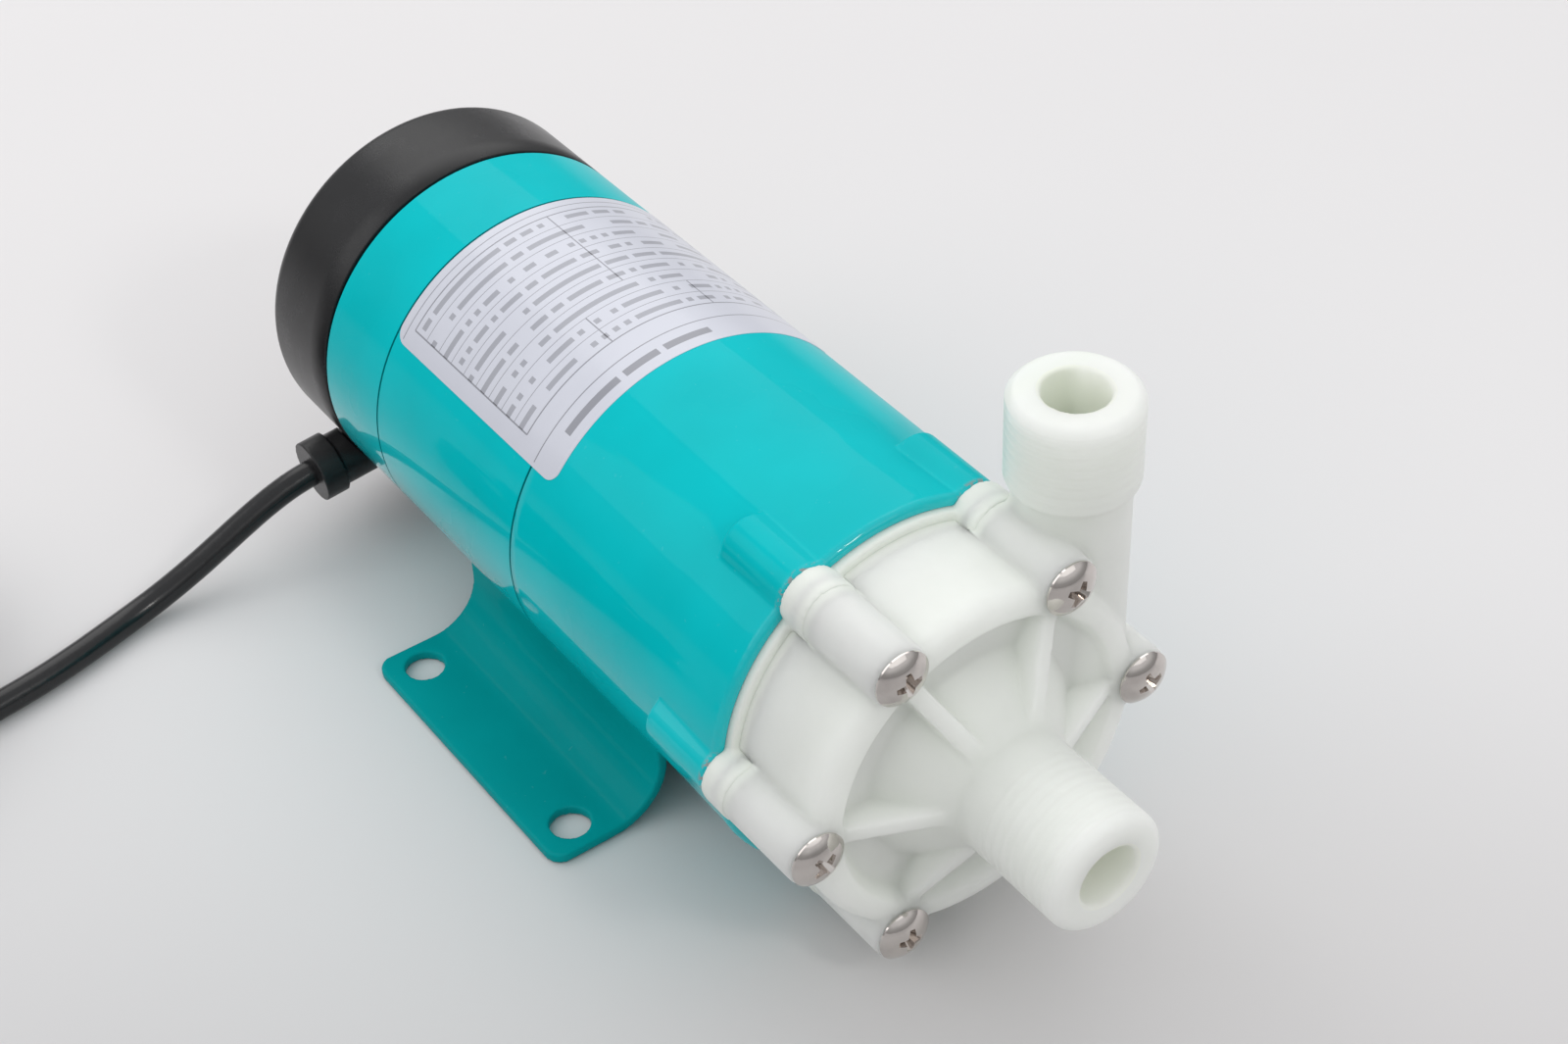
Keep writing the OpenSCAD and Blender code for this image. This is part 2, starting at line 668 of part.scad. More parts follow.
module impeller() color(CASING_WHITE) difference() {
    union() {
        ring(impeller_r, eye_r, s_shroud, s_shroud + shroud_t);
        rod(impeller_r, s_disc, s_disc_rear);
        rod(bush_r + 1.8, s_bush + 0.4, s_disc);
        at_s(s_shroud + shroud_t / 2) for (i = [0:vane_count - 1]) rotate([0, 0, i * 360 / vane_count])
            linear_extrude(s_disc - s_shroud) vane_outline();
    }
    rod(bush_r + press_gap, s_shroud - 1, s_disc_rear + 1);
}

module magnet_capsule() color(CASING_WHITE) difference() {
    ring(capsule_r, bush_r + press_gap, s_disc_rear, s_capsule_end - 0.2);
    ring(driven_r, driven_r - driven_t, s_driven, s_capsule_end - 0.2 - capsule_wall);
}

module driven_magnet() color(MAGNET)
    ring(driven_r - press_gap, driven_r - driven_t + press_gap, s_driven + seat_gap, s_capsule_end - 0.2 - capsule_wall - seat_gap);

module impeller_bushing() color(MAGNET) ring(bush_r, spindle_r + run_gap, s_bush, s_capsule_end);

// Foot

module ring_outline(r_in, r_out) difference() {
    circle(r = r_out);
    circle(r = r_in);
}

module foot_side() {
    translate([-wall_x - bend_r, sheet_t + bend_r]) intersection() {
        ring_outline(bend_r, bend_r + sheet_t);
        translate([0, -bend_r - sheet_t]) square(bend_r + sheet_t);
    }
    translate([-foot_w / 2, 0]) square([foot_w / 2 - wall_x - bend_r, sheet_t]);
    difference() {
        translate([-wall_x, sheet_t + bend_r]) square([sheet_t, axis_h - sheet_t - bend_r]);
        translate([0, axis_h]) circle(r = saddle_r);
    }
}

// The saddle follows the underside of the body between the two standing walls.
module foot_saddle() translate([0, axis_h]) intersection() {
    ring_outline(saddle_r, saddle_r + sheet_t);
    translate([-wall_x, -2 * body_r]) square([2 * wall_x, 2 * body_r]);
    polygon([[0, 0], [-2 * wall_x, -2 * sqrt(body_r * body_r - wall_x * wall_x)], [0, -4 * body_r],
        [2 * wall_x, -2 * sqrt(body_r * body_r - wall_x * wall_x)]]);
}

module foot_plan() {
    long = foot_l / 2 - foot_corner_r;
    wide = foot_w / 2 - foot_corner_r;
    square([2 * wide, foot_l], center = true);
    square([foot_w, 2 * long], center = true);
    for (x = [-wide, wide], y = [-long, long]) translate([x, y]) circle(r = foot_corner_r);
}

module foot_screw_places() for (s = foot_screw_s)
    translate([0, s - foot_mid, axis_h - body_r]) children();

module foot() color(TEAL_DARK) difference() {
    intersection() {
        translate([0, foot_l / 2, 0]) rotate([90, 0, 0]) linear_extrude(foot_l) {
            foot_side();
            mirror([1, 0]) foot_side();
            foot_saddle();
        }
        linear_extrude(axis_h) foot_plan();
    }
    for (x = [-1, 1], y = [-1, 1]) translate([x * hole_span_x / 2, y * hole_span_y / 2, -1]) cylinder(d = hole_d, h = 2 * sheet_t + 2);
    foot_screw_places() cylinder(d = screw_d + 2 * screw_gap, h = 4 * sheet_t + 4, center = true);
}

module foot_screws() color(STEEL) foot_screw_places()
    translate([0, 0, -sheet_t - 0.1]) pan_screw(screw_d, 7.4, 1.9, sheet_t + 2.4);

// Mains lead

module at_gland() translate(gland_root) rotate([0, -90 - gland_tilt, 0]) children();

module cable_gland() color(RUBBER_BLACK) difference() {
    union() {
        at_gland() translate([0, 0, -gland_inside + overlap / 2])
            cylinder(d = gland_neck_d, h = gland_inside + gland_l - 2 * overlap);
        difference() {
            at_gland() translate([0, 0, -gland_inside])
                cylinder(d = gland_sleeve_d, h = gland_inside + gland_l - gland_collar_t + overlap);
            rod(body_r + joint_gap, s_cover, s_end);
        }
        intersection() {
            at_gland() translate([0, 0, -gland_inside]) cylinder(d = gland_lip_d, h = gland_inside + gland_collar_t);
            rod(body_r - cover_wall - joint_gap, s_cover, s_end);
        }
        at_gland() translate([0, 0, gland_l - gland_collar_t]) cylinder(d = gland_collar_d, h = gland_collar_t);
    }
    at_gland() translate([0, 0, -gland_inside - 1]) cylinder(d = cord_d, h = gland_inside);
}

// A point between two route points, on a smooth curve through all of them.
function smooth(a, b, c, d, t) =
    0.5 * (2 * b + (c - a) * t + (2 * a - 5 * b + 4 * c - d) * t * t + (3 * b - a - 3 * c + d) * t * t * t);

function unit(v) = v / norm(v);

cord_points = concat([cord_exit], CORD_ROUTE);
cord_last = len(cord_points) - 1;

function cord_at(i) = cord_points[min(max(i, 0), cord_last)];

cord_line = [for (k = [0:cord_last * cord_steps]) let (i = min(floor(k / cord_steps), cord_last - 1))
    smooth(cord_at(i - 1), cord_at(i), cord_at(i + 1), cord_at(i + 2), k / cord_steps - i)];

cord_way = [for (k = [0:len(cord_line) - 1])
    unit(cord_line[min(k + 1, len(cord_line) - 1)] - cord_line[max(k - 1, 0)])];

function cord_ring(p, way) = let (side = unit(cross(way, [0, 0, 1])), up = cross(side, way))
    [for (j = [0:cord_sides - 1]) let (a = 360 * j / cord_sides) p + cord_d / 2 * (cos(a) * side + sin(a) * up)];

module power_cord() color(RUBBER_BLACK) {
    n = len(cord_line);
    rings = [for (k = [0:n - 1]) each cord_ring(cord_line[k], k == 0 ? gland_way : cord_way[k])];
    sides = [for (k = [0:n - 2], j = [0:cord_sides - 1]) let (m = (j + 1) % cord_sides)
        [k * cord_sides + j, k * cord_sides + m, (k + 1) * cord_sides + m, (k + 1) * cord_sides + j]];
    start = [for (j = [cord_sides - 1:-1:0]) j];
    stop = [for (j = [0:cord_sides - 1]) (n - 1) * cord_sides + j];
    polyhedron(rings, concat(sides, [start, stop]));
}

module cord_coil() color(RUBBER_BLACK) translate([coil_mid[0], coil_mid[1], coil_base]) rotate_extrude()
    translate([coil_mid_r, coil_high / 2]) {
        square([coil_wide - cord_d, coil_high], center = true);
        square([coil_wide, coil_high - cord_d], center = true);
        for (x = [-1, 1], y = [-1, 1]) translate([x * (coil_wide - cord_d) / 2, y * (coil_high - cord_d) / 2]) circle(d = cord_d);
    }

module cord_tie() color("#D8D8D4") translate([coil_mid[0], coil_mid[1] + coil_mid_r, coil_base + coil_high / 2]) difference() {
    cube([tie_w, coil_wide + 4, coil_high + 2 * tie_slack + 2 * tie_t], center = true);
    cube([tie_w + 1, coil_wide + 2, coil_high + 2 * tie_slack], center = true);
}

module mains_plug() color(RUBBER_BLACK) translate(plug_mid) {
    linear_extrude(plug_t) polygon([
        [-plug_w / 2, plug_l / 2], [-plug_w / 2, -plug_l / 6], [-plug_w / 4, -plug_l / 2], [plug_w / 4, -plug_l / 2],
        [plug_w / 2, -plug_l / 6], [plug_w / 2, plug_l / 2]
    ]);
    translate([0, -plug_l / 2, plug_t / 2]) rotate([90, 0, 0]) cylinder(d1 = plug_t - 2, d2 = cord_d + 2, h = plug_neck_l);
}

module plug_pins() color(STEEL) translate(plug_mid) for (x = [-1, 1])
    translate([x * pin_span / 2, plug_l / 2, plug_t / 2]) rotate([-90, 0, 0]) {
        cylinder(d = pin_d, h = pin_l - pin_d / 2);
        translate([0, 0, pin_l - pin_d / 2]) sphere(d = pin_d);
    }

front_casing();
rear_casing();
casing_o_ring();
casing_screws();
spindle();
front_thrust_ring();
rear_thrust_ring();
motor_bracket();
stator_frame();
rear_end_shield();
rear_cover();
cover_screws();
tie_bolts();
stator_core();
stator_windings();
run_capacitor();
terminal_block();
bearing_outer_rings();
bearing_balls();
wave_washer();
foot();
foot_screws();
cable_gland();
power_cord();
cord_coil();
cord_tie();
mains_plug();
plug_pins();
motor_shaft();
rotor_core();
rotor_end_rings();
bearing_inner_rings();
drive_yoke();
drive_magnet();
yoke_set_screw();
impeller();
magnet_capsule();
driven_magnet();
impeller_bushing();
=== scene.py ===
"""Looks of a magnetic drive pump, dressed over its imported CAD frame.

The file is laid out as an add-on. Lengths in the working functions are millimetres in the pump's own frame:
x to the right seen from the inlet, s rearwards from the bracket rim, and h over the pump axis. The part's
frame has its origin on the floor, in the middle of the foot's four holes.
"""

import json
import math
from functools import partial

import bmesh
import bpy
import numpy as np
from mathutils import Matrix, Vector


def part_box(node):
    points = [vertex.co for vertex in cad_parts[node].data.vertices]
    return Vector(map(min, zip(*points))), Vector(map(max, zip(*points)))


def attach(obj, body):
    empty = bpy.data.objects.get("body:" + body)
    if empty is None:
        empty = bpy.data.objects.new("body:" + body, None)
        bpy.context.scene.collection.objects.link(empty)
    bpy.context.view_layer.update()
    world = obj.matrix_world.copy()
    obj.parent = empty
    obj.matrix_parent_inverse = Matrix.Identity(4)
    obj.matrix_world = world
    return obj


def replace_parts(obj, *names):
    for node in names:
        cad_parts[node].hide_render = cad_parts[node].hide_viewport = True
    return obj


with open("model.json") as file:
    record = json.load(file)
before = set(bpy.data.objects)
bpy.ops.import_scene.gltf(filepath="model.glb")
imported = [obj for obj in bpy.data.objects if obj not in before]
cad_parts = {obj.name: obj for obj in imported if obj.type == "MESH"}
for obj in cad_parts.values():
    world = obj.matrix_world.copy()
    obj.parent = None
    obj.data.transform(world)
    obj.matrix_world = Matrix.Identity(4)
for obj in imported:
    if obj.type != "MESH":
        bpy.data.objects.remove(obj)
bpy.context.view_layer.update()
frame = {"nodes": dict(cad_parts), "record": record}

bl_info = {
    "name": "Magnetic drive pump",
    "version": (1, 0, 0),
    "blender": (4, 5, 0),
    "location": "3D View > Sidebar > Pump",
    "description": "Dresses the packed pump with moulded, painted and metal pieces",
    "category": "Object",
}

MM = 0.001
AXIS_H = 39.0
FOOT_MID = 61.5


def reach(node):
    """Where a solid starts and ends behind the bracket rim, in millimetres."""
    return [corner.y / MM + FOOT_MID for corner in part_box(node)]


# Sizes of the solids that the scene's own pieces follow, in millimetres.
FRAME_FROM, FRAME_TO = reach("stator_frame")
COVER_FROM, COVER_TO = reach("rear_cover")
BODY_R = 33.4
OUTLET = (25.2, -11.05)
SCREW_CIRCLE = 31.3
SCREW_ANGLES = [math.radians(60 * i) for i in range(6)]

LengthProperty = partial(bpy.props.FloatProperty, unit="LENGTH", subtype="DISTANCE", precision=5)
AngleProperty = partial(bpy.props.FloatProperty, unit="ROTATION", subtype="ANGLE")
PowerProperty = partial(bpy.props.FloatProperty, unit="POWER")
ColourProperty = partial(bpy.props.FloatVectorProperty, subtype="COLOR", size=3)
DirectionProperty = partial(bpy.props.FloatVectorProperty, subtype="DIRECTION", size=3)


class PumpSizes(bpy.types.PropertyGroup):
    """Sizes of what the scene adds to the solids."""

    thread_pitch: LengthProperty(
        name="Thread pitch", description="Pitch of the pipe thread on both ports", default=1.814 * MM)
    thread_depth: LengthProperty(
        name="Thread depth", description="Depth of the soft moulded thread on both ports", default=0.12 * MM)
    mould_voxel: LengthProperty(
        name="Mould detail", description="Mesh size of the moulded casings", default=0.40 * MM)
    mould_rounds: bpy.props.IntProperty(
        name="Mould softness", description="Smoothing rounds that give the casings their fillets", default=14)
    bump_fillet: LengthProperty(
        name="Bump fillet", description="Size of the painted fillet round each screw bump", default=1.2 * MM)
    sticker_length: LengthProperty(
        name="Sticker length", description="Length of the sticker along the motor", default=50 * MM)
    sticker_from: AngleProperty(
        name="Sticker start", description="Angle of the sticker's left edge, from the right over the top",
        default=math.radians(145))
    sticker_to: AngleProperty(
        name="Sticker end", description="Angle of the sticker's right edge, from the right over the top",
        default=math.radians(35))
    lead_length: LengthProperty(
        name="Lead length", description="Whole length of the mains lead, from the gland to the plug",
        default=1.04)
    lead_diameter: LengthProperty(
        name="Lead diameter", description="Outside diameter of the mains lead", default=5 * MM)


class PumpColours(bpy.types.PropertyGroup):
    """Colours of the finishes."""

    enamel: ColourProperty(
        name="Enamel", description="Gloss enamel of the motor", default=(0.0, 0.515, 0.555))
    foot_enamel: ColourProperty(
        name="Foot enamel", description="Enamel of the pressed foot", default=(0.001, 0.32, 0.33))
    casing: ColourProperty(
        name="Casing", description="Natural plastic of the pump head", default=(0.84, 0.875, 0.815))
    cover: ColourProperty(
        name="Cover", description="Plastic of the rear cover", default=(0.008, 0.008, 0.009))
    lead: ColourProperty(
        name="Lead", description="Sheath of the mains lead", default=(0.011, 0.011, 0.012))
    sticker: ColourProperty(
        name="Sticker", description="Film of the sticker", default=(0.62, 0.635, 0.71))
    floor: ColourProperty(
        name="Floor", description="Floor of the stage", default=(0.755, 0.742, 0.745))


class PumpStage(bpy.types.PropertyGroup):
    """Camera and light."""

    camera_place: bpy.props.FloatVectorProperty(
        name="Camera place", description="Place of the camera", size=3, unit="LENGTH", subtype="TRANSLATION",
        default=(-0.18877, -0.31086, 0.33842))
    camera_right: DirectionProperty(
        name="Camera right", description="Direction to the right of the picture",
        default=(0.8107, -0.5845, -0.0328))
    camera_up: DirectionProperty(
        name="Camera up", description="Direction to the top of the picture",
        default=(0.3993, 0.5112, 0.7611))
    lens: bpy.props.FloatProperty(
        name="Lens", description="Focal length on a sensor 36 mm wide", default=63.82, unit="CAMERA")
    overhead: PowerProperty(
        name="Overhead light", description="Power of the large lamp over the pump", default=3.7)
    front: PowerProperty(
        name="Front light", description="Power of the large dim lamp behind the camera", default=0.9)
    left: PowerProperty(
        name="Left light", description="Power of the large dim lamp left of the pump", default=2.4)
    highlight: PowerProperty(
        name="Highlight", description="Power of the small lamp that puts highlights on metal and edges",
        default=1.4)
    sky: bpy.props.FloatProperty(
        name="Sky", description="Strength of the light from all round", default=0.86, min=0)


class Wire:
    """A socket of a node tree. Arithmetic on it adds Math nodes to that tree."""

    def __init__(self, nodes, socket):
        self.nodes = nodes
        self.socket = socket

    def maths(self, operation, *values, clamp=False):
        settings = {"operation": operation, "use_clamp": clamp}
        return self.nodes.add("ShaderNodeMath", settings, dict(enumerate(values)))

    def __add__(self, other):
        return self.maths("ADD", self, other)

    def __sub__(self, other):
        return self.maths("SUBTRACT", self, other)

    def __rsub__(self, other):
        return self.maths("SUBTRACT", other, self)

    def __mul__(self, other):
        return self.maths("MULTIPLY", self, other)

    def __gt__(self, other):
        return self.maths("GREATER_THAN", self, other)

    def __lt__(self, other):
        return self.maths("LESS_THAN", self, other)

    def __abs__(self):
        return self.maths("ABSOLUTE", self)

    __radd__ = __add__
    __rmul__ = __mul__

    def between(self, low, high):
        """0 below low, 1 above high and a soft step between them."""
        settings = {"interpolation_type": "SMOOTHSTEP"}
        sockets = {"Value": self, "From Min": low, "From Max": high}
        return self.nodes.add("ShaderNodeMapRange", settings, sockets)

    def band(self, start, full, fade, end):
        """1 from full to fade, and 0 before start and after end, all in millimetres."""
        return self.between(start * MM, full * MM) * (1 - self.between(fade * MM, end * MM))

    def near(self, place, within):
        """1 close to a value, and 0 elsewhere."""
        return self.maths("COMPARE", self, place, within)

    def root(self):
        return self.maths("SQRT", self)

    def part(self):
        """What is left of the value over a whole number."""
        return self.maths("FRACT", self)

    def whole(self):
        return self.maths("FLOOR", self)

    def clamped(self):
        return self.maths("ADD", self, 0.0, clamp=True)


class Nodes:
    """A node tree and the one way in which nodes are added to it."""

    def __init__(self, tree):
        self.tree = tree
        self.tree.nodes.clear()

    def add(self, kind, settings=None, sockets=None, out=0):
        node = self.tree.nodes.new(kind)
        for name, value in (settings or {}).items():
            if name == "stops":
                ramp = node.color_ramp.elements
                while len(ramp) < len(value):
                    ramp.new(1.0)
                for stop, (place, colour) in zip(ramp, value):
                    stop.position = place
                    stop.color = (*colour, 1.0)
            else:
                setattr(node, name, value)
        for name, value in (sockets or {}).items():
            self.join(node.inputs[name], value)
        return Wire(self, node.outputs[out])

    def join(self, socket, value):
        if isinstance(value, Wire):
            self.tree.links.new(socket, value.socket)
        elif socket.type == "RGBA" and len(value) == 3:
            socket.default_value = (*value, 1.0)
        else:
            socket.default_value = value

    def mix(self, share, first, second):
        """A colour between two colours."""
        settings = {"data_type": "RGBA", "blend_type": "MIX"}
        return self.add("ShaderNodeMix", settings, {0: share, 6: first, 7: second}, out=2)


class Finish(Nodes):
    """One material: a principled shader whose fixed sockets are set at once."""

    def __init__(self, name, **fixed):
        self.material = bpy.data.materials.new(name)
        self.material.use_nodes = True
        super().__init__(self.material.node_tree)
        self.shader = self.tree.nodes.new("ShaderNodeBsdfPrincipled")
        output = self.tree.nodes.new("ShaderNodeOutputMaterial")
        self.tree.links.new(output.inputs["Surface"], self.shader.outputs["BSDF"])
        self.set(**fixed)

    def set(self, **sockets):
        for name, value in sockets.items():
            self.join(self.shader.inputs[name.replace("_", " ").title().replace("Ior", "IOR")], value)

    def wire(self, name):
        """What feeds a socket of the shader."""
        return Wire(self, self.shader.inputs[name].links[0].from_socket)

    def opaque_where(self, share):
        """Keeps light out of the plastic where two mouldings touch, since the joint would swallow it."""
        sockets = {name: self.wire(name) for name in ("Base Color", "Roughness", "Normal")}
        for name in ("IOR", "Specular IOR Level"):
            sockets[name] = self.shader.inputs[name].default_value
        solid = self.add("ShaderNodeBsdfPrincipled", None, sockets)
        shaders = {0: share, 1: Wire(self, self.shader.outputs[0]), 2: solid}
        both = self.add("ShaderNodeMixShader", None, shaders)
        self.join(self.tree.nodes["Material Output"].inputs["Surface"], both)

    def place(self):
        return self.add("ShaderNodeTexCoord", out=3)

    def axes(self, vector=None):
        """The three numbers of a vector, or of the place."""
        source = vector or self.place()
        first = self.add("ShaderNodeSeparateXYZ", None, {0: source})
        node = first.socket.node
        return [Wire(self, node.outputs[i]) for i in range(3)]

    def noise(self, size, detail=2.0, rough=0.5, stretch=None):
        """Noise with features of about that size in millimetres."""
        where = self.place()
        if stretch:
            where = self.add("ShaderNodeMapping", None, {"Vector": where, "Scale": stretch})
        sockets = {"Vector": where, "Scale": 1 / (size * MM), "Detail": detail, "Roughness": rough}
        return self.add("ShaderNodeTexNoise", None, sockets)

    def bump(self, height, depth, over=None):
        """A normal from heights, where depth is in millimetres."""
        sockets = {"Height": height, "Distance": depth * MM}
        if over:
            sockets["Normal"] = over
        return self.add("ShaderNodeBump", None, sockets)


FINISHES = {}


def finish(make):
    """Makes a finish once, and gives its material after that."""
    def given():
        if make.__name__ not in FINISHES:
            FINISHES[make.__name__] = make().material
        return FINISHES[make.__name__]
    return given


def colours():
    return bpy.context.scene.pump_colours


def sizes():
    return bpy.context.scene.pump_sizes


def shade(colour, factor):
    return tuple(min(1.0, c * factor) for c in colour)


def enamel(name, colour, gloss, coat, low_coat=0.0, seams=()):
    """Sprayed enamel: a little uneven in colour, with orange peel, a few specks of dust and dark seams.

    The coat is dulled by handling, apart from the low sides, which have low_coat more of it.
    """
    f = Finish(name, specular_ior_level=0.01, coat_roughness=0.035, coat_ior=1.5)
    broad = f.noise(30, 3)
    speck = f.noise(1.1, 1).between(0.74, 0.80)
    tone = f.mix(broad.between(0.3, 0.7), shade(colour, 0.95), shade(colour, 1.05))
    tone = f.mix(speck * 0.05, tone, (0.40, 0.62, 0.62))
    _, y, z = f.axes()
    s = y + FOOT_MID * MM
    low = 1 - (z - AXIS_H * MM).between(-8 * MM, 14 * MM)
    seam = sum(s.near(place * MM, 0.24 * MM) for place in seams)
    tone = f.mix(seam, tone, shade(colour, 0.35))
    peel = f.noise(2.2, 2) + f.noise(0.6, 1) * 0.3
    f.set(base_color=tone, roughness=broad * 0.08 + speck * 0.1 + gloss, normal=f.bump(peel, 0.015),
          coat_weight=(1 - seam) * (low * low_coat + coat) - speck * 0.05)
    return f


@finish
def motor_enamel():
    return enamel("motor_enamel", colours().enamel, 0.24, 0.16, 0.75, (FRAME_FROM, FRAME_TO))


@finish
def bracket_enamel():
    """Enamel with small chips along the front edge, beside the lugs."""
    f = enamel("bracket_enamel", colours().enamel, 0.24, 0.16, 0.75, (FRAME_FROM,))
    tone, gloss, coat = f.wire("Base Color"), f.wire("Roughness"), f.wire("Coat Weight")
    x, y, z = f.axes()
    angle = f.add("ShaderNodeMath", {"operation": "ARCTAN2"}, {0: z - AXIS_H * MM, 1: x})
    turn = (angle * (6 / math.tau) + 0.5).part() - 0.5
    beside = 1 - abs(turn).between(0.085, 0.16)
    edge = 1 - y.between((0.5 - FOOT_MID) * MM, (1.5 - FOOT_MID) * MM)
    chip = (beside * edge * f.noise(1.7, 3, 0.65).between(0.50, 0.56)).clamped()
    f.set(base_color=f.mix(chip, tone, (0.30, 0.33, 0.33)), roughness=gloss + chip * 0.2,
          coat_weight=(coat + edge * 0.8 - chip).clamped())
    return f


@finish
def foot_enamel():
    return enamel("foot_enamel", colours().foot_enamel, 0.32, 0.06)


def thread(f, along, across, pitch):
    """Height of a moulded thread: a soft wave that climbs one pitch for each turn."""
    turn = f.add("ShaderNodeMath", {"operation": "ARCTAN2"}, {0: across[1], 1: across[0]}) * (1 / math.tau)
    wave = abs((along * (1 / pitch) + turn).part() - 0.5) * 2
    return wave.between(0.1, 0.9)


@finish
def natural_plastic():
    """Unpigmented moulded plastic: milky, slightly green and soft in the light."""
    f = Finish("natural_plastic", ior=1.49, specular_ior_level=0.30, subsurface_weight=1.0,
               subsurface_radius=(1.0, 1.0, 1.0), subsurface_scale=11.0 * MM)
    x, y, z = f.axes()
    s, h, side = y + FOOT_MID * MM, z - AXIS_H * MM, x - OUTLET[0] * MM
    back = s - OUTLET[1] * MM
    cloud = f.noise(14, 3, 0.55)
    flow = f.noise(2.4, 2, 0.5, stretch=(1, 0.25, 1))
    mark = f.noise(0.8, 1).between(0.74, 0.82)
    tone = f.mix(cloud.between(0.3, 0.72), shade(colours().casing, 0.975), shade(colours().casing, 1.015))
    tone = f.mix(mark * 0.06, tone, (0.62, 0.64, 0.58))
    off_inlet, off_outlet = (x * x + h * h).root(), (side * side + back * back).root()
    bore, core = 5.9 * MM, 8 * MM
    # Painted light: the bores are painted greener, standing in for light that shines through the thick
    # plastic round them.
    painted_bore_glow = (off_inlet < bore) * (s < -23 * MM) + (off_outlet < bore) * (h > 20 * MM)
    tone = f.mix(painted_bore_glow.clamped() * 0.6, tone, (0.86, 0.90, 0.76))
    pitch = sizes().thread_pitch
    on_inlet = s.band(-50, -49, -35, -33) * (off_inlet > core)
    on_outlet = h.band(37, 39, 50.4, 51.4) * (off_outlet > core)
    cut = thread(f, s, (x, h), pitch) * on_inlet + thread(f, h, (back, side), pitch) * on_outlet
    skin = f.bump(f.noise(3.0, 2) + f.noise(0.35, 2) * 0.18, 0.04)
    f.set(base_color=tone, roughness=flow * 0.10 + mark * 0.1 + 0.38,
          normal=f.bump(cut, sizes().thread_depth / MM, over=skin))
    lugs = s.band(-8, -6, -5, -3) * (off_inlet > 30.9 * MM)
    flange = s.between(-3.8 * MM, -1.8 * MM)
    f.opaque_where((flange + lugs).clamped() * 0.8)
    return f


@finish
def cover_plastic():
    """Dark satin plastic with a fine moulded grain and a few rubbed places."""
    f = Finish("cover_plastic", specular_ior_level=0.35)
    grain = f.noise(0.22, 2, 0.6)
    rub = f.noise(9, 4, 0.6).between(0.45, 0.75)
    dust = f.noise(0.6, 1).between(0.72, 0.80)
    tone = f.mix(rub, colours().cover, shade(colours().cover, 1.5))
    f.set(base_color=f.mix(dust * 0.12, tone, (0.16, 0.16, 0.17)), roughness=0.27 - rub * 0.05 + grain * 0.06,
          normal=f.bump(grain, 0.030))
    return f


@finish
def lead_sheath():
    """Soft black sheath: faint flow lines along it, and some dust."""
    f = Finish("lead_sheath", specular_ior_level=0.42)
    flow = f.noise(1.5, 3, 0.6)
    dust = f.noise(0.45, 1).between(0.70, 0.80)
    tone = f.mix(flow, shade(colours().lead, 0.6), shade(colours().lead, 1.2))
    f.set(base_color=f.mix(dust * 0.10, tone, (0.16, 0.16, 0.16)), roughness=flow * 0.12 + 0.16,
          normal=f.bump(flow, 0.04))
    return f


@finish
def moulded_rubber():
    """Matt black rubber of gland, plug and seal."""
    f = Finish("moulded_rubber", specular_ior_level=0.4)
    grain = f.noise(0.3, 2, 0.6)
    worn = f.noise(5, 3).between(0.45, 0.75)
    f.set(base_color=f.mix(worn, (0.011, 0.011, 0.012), (0.022, 0.022, 0.023)), roughness=0.26 + grain * 0.14,
          normal=f.bump(grain, 0.03))
    return f


def bare_metal(name, colour, rough, size=0.5, stretch=(1, 1, 1), depth=0.006):
    """Metal with fine tool marks and small stains."""
    f = Finish(name, metallic=1.0)
    marks = f.noise(size, 3, 0.6, stretch=stretch)
    stain = f.noise(4, 3).between(0.40, 0.75)
    f.set(base_color=f.mix(stain, colour, shade(colour, 0.84)), roughness=marks * 0.12 + stain * 0.06 + rough,
          normal=f.bump(marks, depth))
    return f


@finish
def stainless():
    return bare_metal("stainless", (0.66, 0.62, 0.59), 0.02, 0.9)


@finish
def ground_steel():
    return bare_metal("ground_steel", (0.50, 0.50, 0.50), 0.24, 0.35, (1, 6, 1))


@finish
def die_cast():
    return bare_metal("die_cast", (0.62, 0.62, 0.63), 0.38, 0.8, depth=0.03)


@finish
def pin_metal():
    return bare_metal("pin_metal", (0.66, 0.62, 0.52), 0.16, 0.3, (1, 0.2, 1))


@finish
def laminations():
    """Stacked sheets, seen as fine rings along the axis."""
    f = Finish("laminations", metallic=0.85)
    sheet = (f.axes()[1] * (1 / (0.5 * MM))).part()
    joint = sheet.near(0.0, 0.12)
    tint = f.noise(3, 3)
    f.set(base_color=f.mix(joint, f.mix(tint, (0.20, 0.205, 0.22), (0.30, 0.30, 0.31)), (0.05, 0.04, 0.04)),
          roughness=tint * 0.2 + 0.35, normal=f.bump(1 - joint, 0.04))
    return f


@finish
def copper_winding():
    """Varnished copper wire, laid side by side."""
    f = Finish("copper_winding", metallic=0.9, coat_roughness=0.2)
    sockets = {"Vector": f.place(), "Scale": 260.0, "Distortion": 5.0, "Detail": 2.0, "Detail Scale": 1.5}
    wave = f.add("ShaderNodeTexWave", {"bands_direction": "Z"}, sockets, out=1)
    tint = f.noise(2.5, 3)
    # Partly painted shade: the copper is painted darker in the low bands of the wave, the grooves between the
    # wires, and darker at random with the tint.
    f.set(base_color=f.mix(wave * tint, (0.16, 0.055, 0.02), (0.55, 0.23, 0.09)), roughness=tint * 0.2 + 0.25,
          coat_weight=tint * 0.5 + 0.3, normal=f.bump(wave, 0.12))
    return f


@finish
def sintered_magnet():
    return bare_metal("sintered_magnet", (0.10, 0.10, 0.11), 0.45, 0.25, depth=0.03)


@finish
def carbon_bush():
    f = Finish("carbon_bush")
    grain = f.noise(0.3, 3, 0.65)
    f.set(base_color=f.mix(grain, (0.018, 0.018, 0.019), (0.05, 0.05, 0.05)), roughness=grain * 0.2 + 0.35,
          normal=f.bump(grain, 0.02))
    return f


